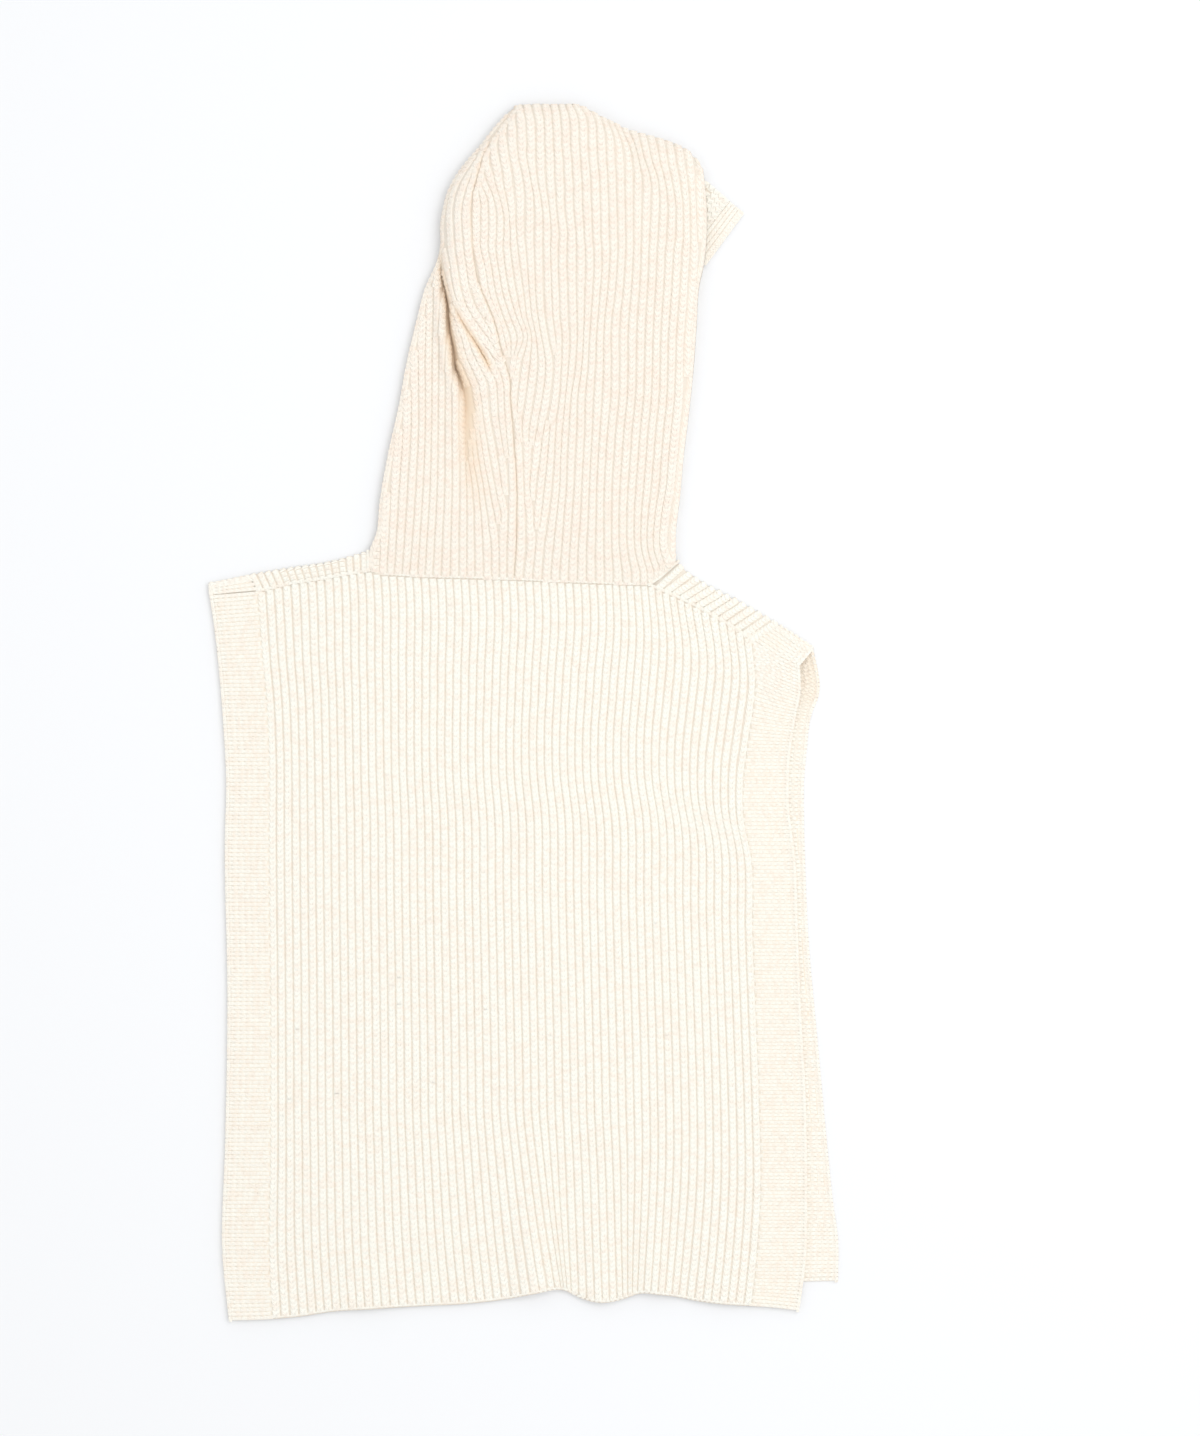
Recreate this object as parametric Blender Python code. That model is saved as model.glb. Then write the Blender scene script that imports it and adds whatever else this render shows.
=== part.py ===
# Cape hoodie: a sleeveless rib-knit poncho with a hood, laid flat on its front with its back up.
# Tables and sizes are in millimetres: x to the right, y from the hem to the crown of the hood,
# z up from the surface it lies on. The front panel rests on that surface, the back panel lies
# on the front panel, and at each shoulder the front turns over the fold to meet the back.

import math

import bmesh
import bpy
import numpy as np

MM = 0.001
SEAM_GAP = 0.3
WALL = 2.1             # thickness of the knit in the valley between two ribs
RIB_HEIGHT = 0.9       # how far a rib stands above its valleys
BAND_RIB_HEIGHT = 0.5
BODY_RIB = 6.0         # pitch of the body's ribs
HOOD_RIB = 6.6         # pitch of the hood's ribs
BAND_RIB = 4.0         # pitch of the crosswise ribs of the armhole bands
BACK_LEVEL = WALL + SEAM_GAP             # underside of the back panel
BACK_TOP = BACK_LEVEL + WALL             # valleys of the back panel
HOOD_RIM = 4.5         # height at which the hood's upper wall turns under
HOOD_LOW = 9.5         # height of the flat lower left of the hood
HOOD_RIGHT_DROP = 0.35        # share of the hood's rise that is lost towards its right fold
NECK_RAMP = 38.0       # length over which the hood climbs from the neck seam
RIM_RAMP = 22.0        # length over which its rim does
CREASE_HALF = 7.0      # half width of the trough along the crease
BAND_LENGTH = 545.0
FRONT_BAND_LENGTH = 470.0                # from the hem to the shoulder fold
FRONT_BAND_WIDTH = 32.0
STRIP_RIBS = 3         # ribs of an armhole band between the shoulder fold and the seam
CREASE_TOP = 350.0     # where the crease runs out at the hood's left outline
NARROW = 3.0           # a stretch of the hood narrower than this has come to its end
HOOD_CENTRE = (30, 290)
EDGE_COLUMNS = [4.5, 10.0]    # plain columns nearest the hood's outline
PLAIN_COLUMN = 22.0           # spacing of the others
PLAIN_STEP = 4         # points of ribbing to one of the plain underside behind it
PEAK_WALL = 3.0        # thickness of the lower layer at the hood's peak
PEAK_RIB_HEIGHT = 0.6

# Lengthwise lines, a row for each station: (y, x)
LEFT_EDGE = [(-464, -225), (-411, -230), (-334, -228), (-220, -226), (-97, -228), (-51, -227),
             (-13, -229), (37, -233), (64, -236), (91, -240)]
LEFT_SEAM = [(-464, -193), (-411, -195), (-334, -194), (-220, -194), (-97, -195), (-36, -195),
             (10, -197), (41, -200), (93, -204)]
RIGHT_SEAM = [(-456, 174), (-418, 178), (-373, 181), (-296, 180), (-220, 177), (-166, 175),
              (-112, 174), (-81, 168), (-51, 168), (-21, 172), (21, 177), (56, 174)]
RIGHT_EDGE = [(-457, 210), (-418, 215), (-357, 216), (-296, 215), (-220, 211), (-166, 209),
              (-112, 207), (-67, 202), (-32, 203), (-4, 207), (18, 211), (36, 210)]
FRONT_RIGHT_EDGE = [(-434, 240), (-403, 240), (-373, 236), (-334, 232), (-258, 225), (-166, 217),
                    (-120, 215), (-82, 214), (-51, 214), (-30, 216), (0, 220), (13, 225), (50, 221)]
HOOD_LEFT_EDGE = [(109, -118.8), (116, -118.7), (123, -118), (136, -113), (162, -110),
                  (201, -103), (232, -96), (265, -90), (299, -82), (325, -75), (343, -67),
                  (356, -64), (373, -64), (385, -62), (401, -57), (418, -46), (432, -34),
                  (446, -23), (456, -14)]
HOOD_SEAM = [(102, -1), (129, -2), (171, -4), (205, -7), (234, -9), (250, -10), (263, -13),
             (276, -17), (293, -21), (314, -29), (326, -34), (340, -37), (355, -38), (377, -39),
             (394, -38), (405, -35), (426, -29), (440, -21), (450, -14), (460, -7)]
HOOD_RIGHT_EDGE = [(98, 95.8), (103, 101.6), (109, 108.8), (115, 115), (124, 116), (135, 116),
                   (162, 119), (194, 122), (236, 127), (266, 130), (295, 132), (325, 134),
                   (344, 138), (377, 140), (397, 139), (415, 137)]
CREASE = [(42, -22), (100, -27), (148, -34), (178, -38), (209, -41), (236, -43), (256, -47),
          (278, -53), (301, -57), (327, -60), (350, -64)]

# Crosswise lines: (x, y)
HEM = [(-230, -464), (-194, -463), (-171, -461), (-145, -457), (-115, -455), (-78, -453),
       (-41, -451), (-10, -447), (7, -443), (31, -441), (44, -447), (59, -450), (77, -447),
       (89, -443), (106, -444), (133, -449), (161, -452), (189, -454), (216, -457)]
FRONT_HEM = [(-230, -455), (-100, -446), (40, -438), (150, -436), (242, -434)]
SHOULDERS = [(-240, 90), (-204, 93), (-179, 99), (-153, 103), (-132, 107), (-119, 109), (-108, 106),
             (-67, 104), (-26, 103), (41, 100), (96, 98), (119, 88), (135, 80), (161, 65), (174, 56),
             (194, 43), (210, 36)]
LEFT_FOLD = [(-240, 99), (-210, 105), (-187, 109), (-153, 114), (-136, 118), (-119, 123)]
RIGHT_FOLD = [(117, 115), (126, 106), (140, 97), (168, 83), (195, 67), (208, 59), (221, 50)]
FRONT_NECK = [(-119, 108.4), (-106, 80), (-72, 54), (-7, 42), (58, 50), (85, 70), (96, 97.4)]
FRONT_TOP = [(-210, 88), (-187, 91), (-164, 94), (-144, 97), (-125, 100), (-114, 88), (-102, 64),
             (-70, 38), (-7, 26), (57, 34), (90, 54), (106, 76), (117, 92), (137, 78), (156, 66),
             (176, 54), (195, 42)]      # last row of the front's flat layer, just below its ends
NECK_COLUMNS = (4, 12)                  # its columns at the two ends of the neckline
HOOD_TOP = [(-14, 456), (-11, 459), (5, 464), (22, 464), (44, 463), (59, 455), (80, 445), (110, 436),
            (129, 425), (137, 415)]

# Height of the middle of the hood above the surface: (y, z)
HOOD_MIDDLE = [(100, 4.5), (140, 9.5), (200, 12), (260, 17), (320, 24), (380, 27), (430, 25),
               (464, 24)]
# How far right of the crease the hood is still climbing to that height: (y, reach)
CREASE_REACH = [(100, 90), (180, 60), (240, 28), (300, 15), (345, 14), (464, 14)]
# Depth of the crease below the flat lower left: (y, depth)
CREASE_DEPTH = [(100, 0), (170, 0), (230, 2.5), (290, 4), (335, 3), (356, 0), (464, 0)]

# Soft folds, each from its high end to where it fades out: (x0, y0, x1, y1, half width, height)
BODY_FOLDS = [
    (24, -446, 30, -315, 17, 5.5),     # left wave of the hem
    (88, -446, 72, -330, 13, 4.5),     # right wave of the hem
    (-120, -458, -128, -360, 22, 2.0),
    (150, -450, 140, -340, 20, 2.5),
    (208, 44, 150, -30, 26, 4.5),      # the right armhole's loop stands open
    (170, -70, 110, -60, 22, 2.5),     # where the right armhole is drawn in
]
HOOD_FOLDS = [
    (-44, 293, -20, 251, 5, -4.0),     # second, softer crease beside the deep one
    (74, 448, 98, 385, 9, -5.0),       # dent at the top right
    (-6, 150, -4, 240, 10, 1.5),       # raised ribs where the back seam narrows the hood
]

# The peak of the hood's lower layer, which shows past the right fold: ends of its lines (x, y)
PEAK_INNER = [(139.6, 402.0), (140.8, 366.0)]
PEAK_OUTER = [(140.4, 403.4), (156.0, 390.2)]
PEAK_TRIM = [(156.3, 389.9), (167.2, 381.5), (141.6, 344.5), (141.1, 365.5)]
PEAK_RIBS = 5

CREAM = (0.93, 0.87, 0.78)
CREAM_BAND = (0.95, 0.90, 0.81)


# Curves and plan positions

def spline(table, at):
    knots, values = np.array(sorted(table), float).T
    slopes = np.gradient(values, knots)
    at = np.clip(at, knots[0], knots[-1])
    i = np.clip(np.searchsorted(knots, at) - 1, 0, len(knots) - 2)
    span = knots[i + 1] - knots[i]
    u = (at - knots[i]) / span
    rise = values[i] * (1 + 2 * u) * (1 - u) ** 2 + values[i + 1] * u * u * (3 - 2 * u)
    return rise + span * (slopes[i] * u * (1 - u) ** 2 - slopes[i + 1] * u * u * (1 - u))


def line(table, at):
    knots, values = np.array(sorted(table), float).T
    return np.interp(at, knots, values)


def curve(table, shift=0.0, shape=spline):
    return lambda at: shape(table, at) + shift


def mix(a, b, share):
    return a + (b - a) * share


def ease(share):
    u = np.clip(share, 0, 1)
    return u * u * (3 - 2 * u)


def meeting(side, edge, y):
    """Height y at which a lengthwise line meets a crosswise one."""
    for _ in range(40):
        y = float(edge(side(y)))
    return y


def ruled(left, right, bottom, top):
    """Plan position at share s across and share t up, between four boundary lines."""
    left_y = [meeting(left, bottom, 0), meeting(left, top, 0)]
    right_y = [meeting(right, bottom, 0), meeting(right, top, 0)]

    def place(s, t):
        x = mix(left(mix(*left_y, t)), right(mix(*right_y, t)), s)
        x_low = mix(left(left_y[0]), right(right_y[0]), s)
        x_high = mix(left(left_y[1]), right(right_y[1]), s)
        return x, mix(bottom(x_low), top(x_high), t)

    return place


def stations(side, bottom, top, shares):
    """The line through a side's stations, as a table that its neighbour follows too."""
    low, high = meeting(side, bottom, 0), meeting(side, top, 0)
    return [(y, float(side(y))) for y in mix(low, high, np.array(shares))]


def folds(table, x, y):
    """Height that soft folds add at plan points, each fading out along its length."""
    total = np.zeros_like(x)
    for x0, y0, x1, y1, half, height in table:
        along = np.array([x1 - x0, y1 - y0], float)
        length = np.hypot(*along)
        along /= length
        run = (x - x0) * along[0] + (y - y0) * along[1]
        off = (x - x0) * along[1] - (y - y0) * along[0]
        before = np.clip(-run, 0, None)
        total += height * (1 - ease(run / length)) * np.exp(-(off ** 2 + before ** 2) / half ** 2)
    return total


# Walls: rows of vertices joined into skins, and two skins into a closed wall

class Wall:
    def __init__(self, name, colour):
        self.name = name
        self.colour = colour
        self.mesh = bmesh.new()

    def row(self, x, y, z):
        x, y, z = np.broadcast_arrays(np.atleast_1d(x), y, z)
        return [self.mesh.verts.new((a * MM, b * MM, c * MM)) for a, b, c in zip(x, y, z)]

    def face(self, *verts):
        if len(set(verts)) > 2:
            self.mesh.faces.new(list(dict.fromkeys(verts)))

    def zip(self, a, b):
        """Faces between two rows of vertices, of any two counts, matched by their shares."""
        if len(a) == len(b):
            for k in range(len(a) - 1):
                self.face(a[k], a[k + 1], b[k + 1], b[k])
            return
        share_a, share_b = lengths(a), lengths(b)
        i = j = 0
        while i < len(a) - 1 or j < len(b) - 1:
            forward = j == len(b) - 1
            if not forward and i < len(a) - 1:
                forward = share_a[i + 1] + share_a[i] <= share_b[j + 1] + share_b[j]
            if forward:
                self.face(a[i], a[i + 1], b[j])
                i += 1
            else:
                self.face(a[i], b[j + 1], b[j])
                j += 1

    def fan(self, a, b, from_left=True):
        """Faces between two rows matched from one end, the longer row's other end fanned in."""
        if not from_left:
            a, b = a[::-1], b[::-1]
        short, long = sorted((a, b), key=len)
        for k in range(len(short) - 1):
            self.face(a[k], a[k + 1], b[k + 1], b[k])
        for k in range(len(short) - 1, len(long) - 1):
            self.face(long[k], long[k + 1], short[-1])

    def span(self, a, b):
        """Faces between two rows, of which either may have come down to one vertex."""
        (self.fan if 1 in (len(a), len(b)) else self.zip)(a, b)

    def skin(self, rows):
        for a, b in zip(rows, rows[1:]):
            self.zip(a, b)

    def close(self, outer, inner):
        """Rims between the four sides of an outer skin and an inner one."""
        self.zip(outer[0], inner[0])
        self.zip(outer[-1], inner[-1])
        self.zip([row[0] for row in outer], [row[0] for row in inner])
        self.zip([row[-1] for row in outer], [row[-1] for row in inner])

    def finish(self):
        bmesh.ops.recalc_face_normals(self.mesh, faces=self.mesh.faces)
        data = bpy.data.meshes.new(self.name)
        self.mesh.to_mesh(data)
        self.mesh.free()
        obj = bpy.data.objects.new(self.name, data)
        material = bpy.data.materials.new(self.name + "_knit")
        material.use_nodes = True
        shader = material.node_tree.nodes["Principled BSDF"]
        shader.inputs["Base Color"].default_value = (*self.colour, 1)
        shader.inputs["Roughness"].default_value = 0.9
        shader.inputs["Metallic"].default_value = 0
        data.materials.append(material)
        return obj


def lengths(verts):
    """Share of the row's length at each of its vertices."""
    steps = [0.0] + [(b.co - a.co).length for a, b in zip(verts, verts[1:])]
    run = np.cumsum(steps)
    return run / run[-1]


def rib(count):
    """Height shares of the points across ribs, two points a rib, from valley to valley."""
    return np.arange(2 * count + 1) % 2


# Body

BODY_ROWS = [0, 0.03, 0.07, 0.12, 0.18, 0.25, 0.33, 0.41, 0.5, 0.59, 0.68, 0.76, 0.84, 0.91, 0.96, 1]
BLOCKS = [(-204, -119), (-119, 96), (96, 174)]     # left shoulder, neck and right shoulder


def body_top(x, y):
    return BACK_TOP + folds(BODY_FOLDS, x, y)


def columns(blocks, pitch):
    """Shares across of evenly spread columns in each block, and how many steps they make."""
    start, end = blocks[0][0], blocks[-1][1]
    found = [0.0]
    for left, right in blocks:
        steps = 2 * round((right - left) / pitch / 2)
        found += [(mix(left, right, k / steps) - start) / (end - start) for k in range(1, steps + 1)]
    return np.array(found)


def plain_columns(shares, step):
    """Every so many of the columns, and the last one."""
    kept = shares[:-1:step]
    return np.append(kept if 1 - kept[-1] > 0.02 else kept[:-1], 1)


def back_panel():
    """Ribs run from the hem to the shoulder and neck seams, raised over a plain underside."""
    top = curve(SHOULDERS, shape=line)
    place = ruled(curve(LEFT_SEAM), curve(RIGHT_SEAM), curve(HEM), top)
    shares = columns(BLOCKS, BODY_RIB / 2)
    ridge = RIB_HEIGHT * rib(len(shares) // 2)
    wall = Wall("back_panel", CREAM)
    outer, inner = [], []
    for t in BODY_ROWS:
        x, y = place(shares, t)
        outer.append(wall.row(x, y, body_top(x, y) + ridge))
        x, y = place(plain_columns(shares, PLAIN_STEP if t in (0, 1) else 2 * PLAIN_STEP + 1), t)
        inner.append(wall.row(x, y, body_top(x, y) - WALL))
    wall.skin(outer)
    wall.skin(inner)
    wall.close(outer, inner)
    return wall.finish()


def side_seam(table):
    return stations(curve(table), curve(HEM), curve(SHOULDERS, shape=line), BODY_ROWS)


def back_band(name, seam, edge, outward):
    """Armhole band beside the back panel, ribbed across its width."""
    inside = curve(side_seam(seam), outward * SEAM_GAP, line)
    outside = curve(edge)
    place = ruled(inside, outside, curve(HEM), curve(SHOULDERS, shape=line))
    ribs = round(BAND_LENGTH / BAND_RIB / 2) * 2
    wall = Wall(name, CREAM_BAND)
    across = np.array([0.0, 1.0])
    outer, inner = [], []
    for k, high in enumerate(rib(ribs)):
        x, y = place(across, k / (2 * ribs))
        outer.append(wall.row(x, y, body_top(x, y) + BAND_RIB_HEIGHT * high))
        if k % PLAIN_STEP == 0:
            inner.append(wall.row(x, y, body_top(x, y) - WALL))
    wall.skin(outer)
    wall.skin(inner)
    wall.close(outer, inner)
    return wall.finish()


# Shoulder turns of the front panel and its bands: fold line, then x along the fold and the seam
LEFT_TURN = (LEFT_FOLD, (-210, -119.3), (-204, -119.3))
RIGHT_TURN = (RIGHT_FOLD, (117.3, 195), (96.4, 174))
LEFT_BAND_TURN = (LEFT_FOLD, (-210 - SEAM_GAP, -240), (-204 - SEAM_GAP, -240))
RIGHT_BAND_TURN = (RIGHT_FOLD, (195 + SEAM_GAP, 221), (174 + SEAM_GAP, 210))
SHOULDER_RIBS = 15
COARSE_COLUMNS = 7     # columns of the plain inside of a shoulder turn
FRONT_ROWS = [0, 0.15, 0.3, 0.45, 0.6, 0.72, 0.82, 0.9, 1]
BAND_ROWS = 59         # plain rows of the flat layer of a front band
ROLL = [-90, -45, 0, 45, 90]


def turn(fold, seam, lift):
    """Outer and inner points of a wall at each angle of its turn over a shoulder fold.

    fold and seam are plan points, lift is the height of the turned wall's top."""
    inward = (seam - fold) / np.hypot(*(seam - fold).T)[:, None]
    radius = lift / 2
    for angle in np.radians(ROLL):
        reach = radius * (1 - math.cos(angle))
        outer = fold + inward * reach[:, None]
        inner = fold + inward * (radius - (radius - WALL) * math.cos(angle))[:, None]
        yield angle, outer, radius * (1 + math.sin(angle)), inner, (
            radius + (radius - WALL) * math.sin(angle))


def shoulder_columns(fold_table, fold_span, seam_span, count):
    """Matching points on a shoulder fold and its seam, evenly spread along both."""
    u = np.linspace(0, 1, count)
    fold_x, seam_x = mix(*fold_span, u), mix(*seam_span, u)
    fold = np.stack([fold_x, line(fold_table, fold_x)], 1)
    seam = np.stack([seam_x, line(SHOULDERS, seam_x) + SEAM_GAP], 1)
    return fold, seam


def front_seam(side, turned, end):
    """Line between the front panel and a band: the panel's stations, then its turn's start."""
    fold, join = shoulder_columns(*turned, 2)
    _, start, _, _, _ = next(turn(fold, join, body_top(*fold.T)))
    flat = stations(side, curve(FRONT_HEM), curve(FRONT_TOP, shape=line), FRONT_ROWS)
    return flat + [tuple(start[end][::-1])]


def shoulder_strip(wall, turned):
    """Outer and inner rows over one shoulder fold and along its ribbed strip to the seam."""
    fold, seam = shoulder_columns(*turned, 2 * SHOULDER_RIBS + 1)
    lift = body_top(*fold.T)
    ridge = RIB_HEIGHT * rib(SHOULDER_RIBS)
    outer, inner = [], []
    for angle, points, z, _, _ in turn(fold, seam, lift):
        outer.append(wall.row(*points.T, z + ridge * max(0, math.sin(angle))))
    halfway = mix(points, seam, 0.5)
    for points in (halfway, seam):
        outer.append(wall.row(*points.T, body_top(*points.T) + ridge))
    fold, seam = shoulder_columns(*turned, COARSE_COLUMNS)
    lift = body_top(*fold.T)
    for _, _, _, points, z in turn(fold, seam, lift):
        inner.append(wall.row(*points.T, z))
    for points in (mix(points, seam, 0.5), seam):
        inner.append(wall.row(*points.T, body_top(*points.T) - WALL))
    wall.skin(outer)
    wall.skin(inner)
    wall.zip(outer[-1], inner[-1])
    return outer, inner


def front_panel():
    """Flat on the surface, open at the neck, turned over both shoulders up to their seams."""
    wall = Wall("front_panel", CREAM)
    right_seam = curve(FRONT_RIGHT_EDGE, -FRONT_BAND_WIDTH)
    place = ruled(curve(LEFT_SEAM), right_seam, curve(FRONT_HEM), curve(FRONT_TOP, shape=line))
    columns_x = np.array(FRONT_TOP)[:, 0]
    shares = (columns_x - columns_x[0]) / (columns_x[-1] - columns_x[0])
    under, over = [], []
    for t in FRONT_ROWS:
        x, y = place(shares, t)
        under.append(wall.row(x, y, 0))
        over.append(wall.row(x, y, WALL))
    wall.skin(under)
    wall.skin(over)
    left_outer, left_inner = shoulder_strip(wall, LEFT_TURN)
    right_outer, right_inner = shoulder_strip(wall, RIGHT_TURN)
    neck = np.array(FRONT_NECK, float) - (0, SEAM_GAP)
    neck[0, 0] -= SEAM_GAP
    neck[-1, 0] += SEAM_GAP
    neck_under = wall.row(*neck.T, 0)
    neck_over = wall.row(*neck.T, WALL)
    low, high = NECK_COLUMNS
    for last, left_row, neck_row, right_row in (
            (under[-1], left_outer[0], neck_under, right_outer[0]),
            (over[-1], left_inner[0], neck_over, right_inner[0])):
        wall.zip(last[:low + 1], left_row)
        wall.zip(last[low:high + 1], [left_row[-1]] + neck_row + [right_row[0]])
        wall.zip(last[high:], right_row)
    wall.zip([left_outer[0][-1]] + neck_under + [right_outer[0][0]],
             [left_inner[0][-1]] + neck_over + [right_inner[0][0]])
    wall.zip(under[0], over[0])
    for end, outer, inner in ((0, left_outer, left_inner), (-1, right_outer, right_inner)):
        wall.zip([row[end] for row in under] + [outer[0][end]],
                 [row[end] for row in over] + [inner[0][end]])
        for side in (0, -1):
            wall.zip([row[side] for row in outer], [row[side] for row in inner])
    return wall.finish()


def front_band(name, seam, edge, turned, ribbed):
    """Armhole band beside the front panel, flat up to the fold, then turned over to the seam."""
    wall = Wall(name, CREAM_BAND)
    fold, join = shoulder_columns(*turned, 2)
    stages = list(turn(fold, join, body_top(*fold.T)))
    top = [tuple(point) for point in stages[0][1]]
    place = ruled(seam, edge, curve(FRONT_HEM), curve(top, shape=line))
    across = np.array([0.0, 1.0])
    plain = np.linspace(0, 1, BAND_ROWS, endpoint=False)
    outer = [wall.row(*place(across, t), 0) for t in plain]
    if ribbed:
        levels = rib(round(FRONT_BAND_LENGTH / BAND_RIB))
        inner = [wall.row(*place(across, k / (len(levels) - 1)), WALL - BAND_RIB_HEIGHT * (1 - high))
                 for k, high in enumerate(levels[:-1])]
    else:
        inner = [wall.row(*place(across, t), WALL) for t in plain]
    flat_outer, flat_inner = len(outer), len(inner)
    for _, outer_points, outer_z, inner_points, inner_z in stages:
        outer.append(wall.row(*outer_points.T, outer_z))
        inner.append(wall.row(*inner_points.T, inner_z))
    strip = np.linspace(0, 1, 2 * STRIP_RIBS + 1)
    for share, high in zip(strip[1:], rib(STRIP_RIBS)[1:]):
        points = mix(outer_points, join, share)
        outer.append(wall.row(*points.T, body_top(*points.T) + BAND_RIB_HEIGHT * high))
        inner.append(wall.row(*points.T, body_top(*points.T) - WALL))
    wall.skin(outer)
    wall.skin(inner)
    wall.zip(outer[0], inner[0])
    wall.zip(outer[-1], inner[-1])
    for side in (0, -1):
        for a, b in ((outer[:flat_outer + 1], inner[:flat_inner + 1]),
                     (outer[flat_outer:], inner[flat_inner:])):
            wall.zip([row[side] for row in a], [row[side] for row in b])
    return wall.finish()


def front_bands():
    left = front_seam(curve(LEFT_SEAM), LEFT_TURN, 0)
    right = front_seam(curve(FRONT_RIGHT_EDGE, -FRONT_BAND_WIDTH), RIGHT_TURN, -1)
    return [
        front_band("front_band_left", curve(left, -SEAM_GAP, line), curve(LEFT_EDGE),
                   LEFT_BAND_TURN, False),
        front_band("front_band_right", curve(right, SEAM_GAP, line), curve(FRONT_RIGHT_EDGE),
                   RIGHT_BAND_TURN, True)]


# Hood

HOOD_ROWS = [0, 0.02, 0.06, 0.11, 0.17, 0.24, 0.31, 0.38, 0.45, 0.52, 0.58, 0.64, 0.7, 0.76, 0.82,
             0.87, 0.91, 0.945, 0.97, 0.988, 1]


def outline():
    """The hood's outline from its left neck corner over the crown to the right one."""
    left = [(spline(HOOD_LEFT_EDGE, y), y) for y in np.arange(110, 456, 3)]
    top = [(x, spline(HOOD_TOP, x)) for x in np.arange(-14, 137, 3)]
    right = [(spline(HOOD_RIGHT_EDGE, y), y) for y in np.arange(415, 97, -3)]
    return np.array(left + top + right, float)


OUTLINE = outline()


def from_outline(x, y):
    """Distance in plan from points to the hood's outline."""
    a, b = OUTLINE[:-1], OUTLINE[1:]
    step = b - a
    points = np.stack([x, y], -1)[..., None, :]
    share = np.clip(((points - a) * step).sum(-1) / (step ** 2).sum(-1), 0, 1)
    return np.hypot(*np.moveaxis(points - (a + share[..., None] * step), -1, 0)).min(-1)


def hood_height(x, y, inset=0.0, late=0.0):
    """Height of the hood's upper wall, or of a skin inset below it; late delays its climb."""
    x, y = np.broadcast_arrays(np.asarray(x, float), np.asarray(y, float))
    up = y - line(SHOULDERS, x) - late
    edge = from_outline(x, y)
    beside = x - crease(y)
    climb = np.sqrt(1 - (1 - np.clip(beside / line(CREASE_REACH, y), 0, 1)) ** 2)
    right_side = 1 - HOOD_RIGHT_DROP * ease((x - HOOD_CENTRE[0] - 10) / 95)
    middle = HOOD_LOW + (spline(HOOD_MIDDLE, y) - HOOD_LOW) * right_side
    full = mix(HOOD_LOW, np.maximum(middle, HOOD_LOW), climb)
    full = full - line(CREASE_DEPTH, y) * np.exp(-(beside / CREASE_HALF) ** 2) + folds(HOOD_FOLDS, x, y)
    full = mix(BACK_TOP, full, ease(up / NECK_RAMP))
    rim = mix(BACK_LEVEL, HOOD_RIM, ease(up / RIM_RAMP))
    rise = full - rim
    reach = 1.15 * rise + 3       # the edge rolls over a little wider than it is high
    depth = np.clip((edge - inset) / (reach - inset), 0, 1)
    return rim + (rise - inset) * np.sqrt(1 - (1 - depth) ** 2)


def crease(y):
    """The crease, which meets the left outline at its top and follows it from there."""
    return np.where(y > CREASE_TOP, spline(HOOD_LEFT_EDGE, y), spline(CREASE, y))


def half_ribs(width, from_left):
    """Positions across of half-rib lines at their pitch, cut off at the far end, and heights."""
    half = HOOD_RIB / 2
    count = max(1, int((width - 0.5 * half) / half) + 1) if width > half else 1
    spread = np.append(np.arange(count) * half, width)
    height = RIB_HEIGHT * (np.arange(count + 1) % 2) * ease((width - spread) / half)
    if from_left:
        return spread / width, height
    return 1 - spread[::-1] / width, height[::-1]


def hood_plan(left, right, inset=0.0):
    """Ruled plan of a stretch of the hood, from the neck seam to a line just inside the crown."""
    return ruled(left, right, curve(SHOULDERS, SEAM_GAP, line), curve(HOOD_TOP, -inset))


def plain_shares(width, edges):
    """Shares of a plain skin's columns across, closer at the sides that are marked as edges."""
    near = np.array(EDGE_COLUMNS) if width > 2.5 * EDGE_COLUMNS[-1] else np.array([])
    start = np.append(0, near) if edges[0] else np.zeros(1)
    end = np.append(width - near[::-1], width) if edges[1] else np.array([width])
    count = max(0, round((end[0] - start[-1]) / PLAIN_COLUMN) - 1)
    middle = np.linspace(start[-1], end[0], count + 2)[1:-1]
    return np.concatenate([start, middle, end]) / width


def hood_half(name, stretches):
    """One half of the hood's upper wall: stretches are (plan, from_left, edges)."""
    wall = Wall(name, CREAM)
    last = None
    outer, inner = [], []
    for t in HOOD_ROWS:
        upper, lower = [], []
        for place, from_left, edges in stretches:
            x, _ = place(np.array([0.0, 1.0]), t)
            width = x[1] - x[0]
            ended = width < NARROW
            share, ridge = (np.zeros(1), np.zeros(1)) if ended else half_ribs(width, from_left)
            x, y = place(share, t)
            ridge = ridge * ease(from_outline(x, y) / 3) * ease((y - line(SHOULDERS, x)) / 3 - 0.1)
            upper.append(shared_row(wall, upper, x, y, hood_height(x, y) + ridge))
            x, y = place(np.zeros(1) if ended else plain_shares(width, edges), t)
            x, y = inward(x, y, WALL)
            lower.append(shared_row(wall, lower, x, y, hood_height(x, y, WALL)))
        if last:
            for below, above, (_, from_left, _) in zip(last[0], upper, stretches):
                wall.fan(below, above, from_left)
            for below, above in zip(last[1], lower):
                wall.span(below, above)
        last = upper, lower
        outer.append(joined(upper))
        inner.append(joined(lower))
    wall.close(outer, inner)
    return wall.finish()


def shared_row(wall, before, x, y, z):
    """A row that starts at the last vertex of the stretch beside it, where there is one."""
    if not before:
        return wall.row(x, y, z)
    return before[-1][-1:] + wall.row(x[1:], y[1:], z[1:]) if len(x) > 1 else before[-1][-1:]


def joined(parts):
    return list(dict.fromkeys(vert for part in parts for vert in part))


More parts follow.
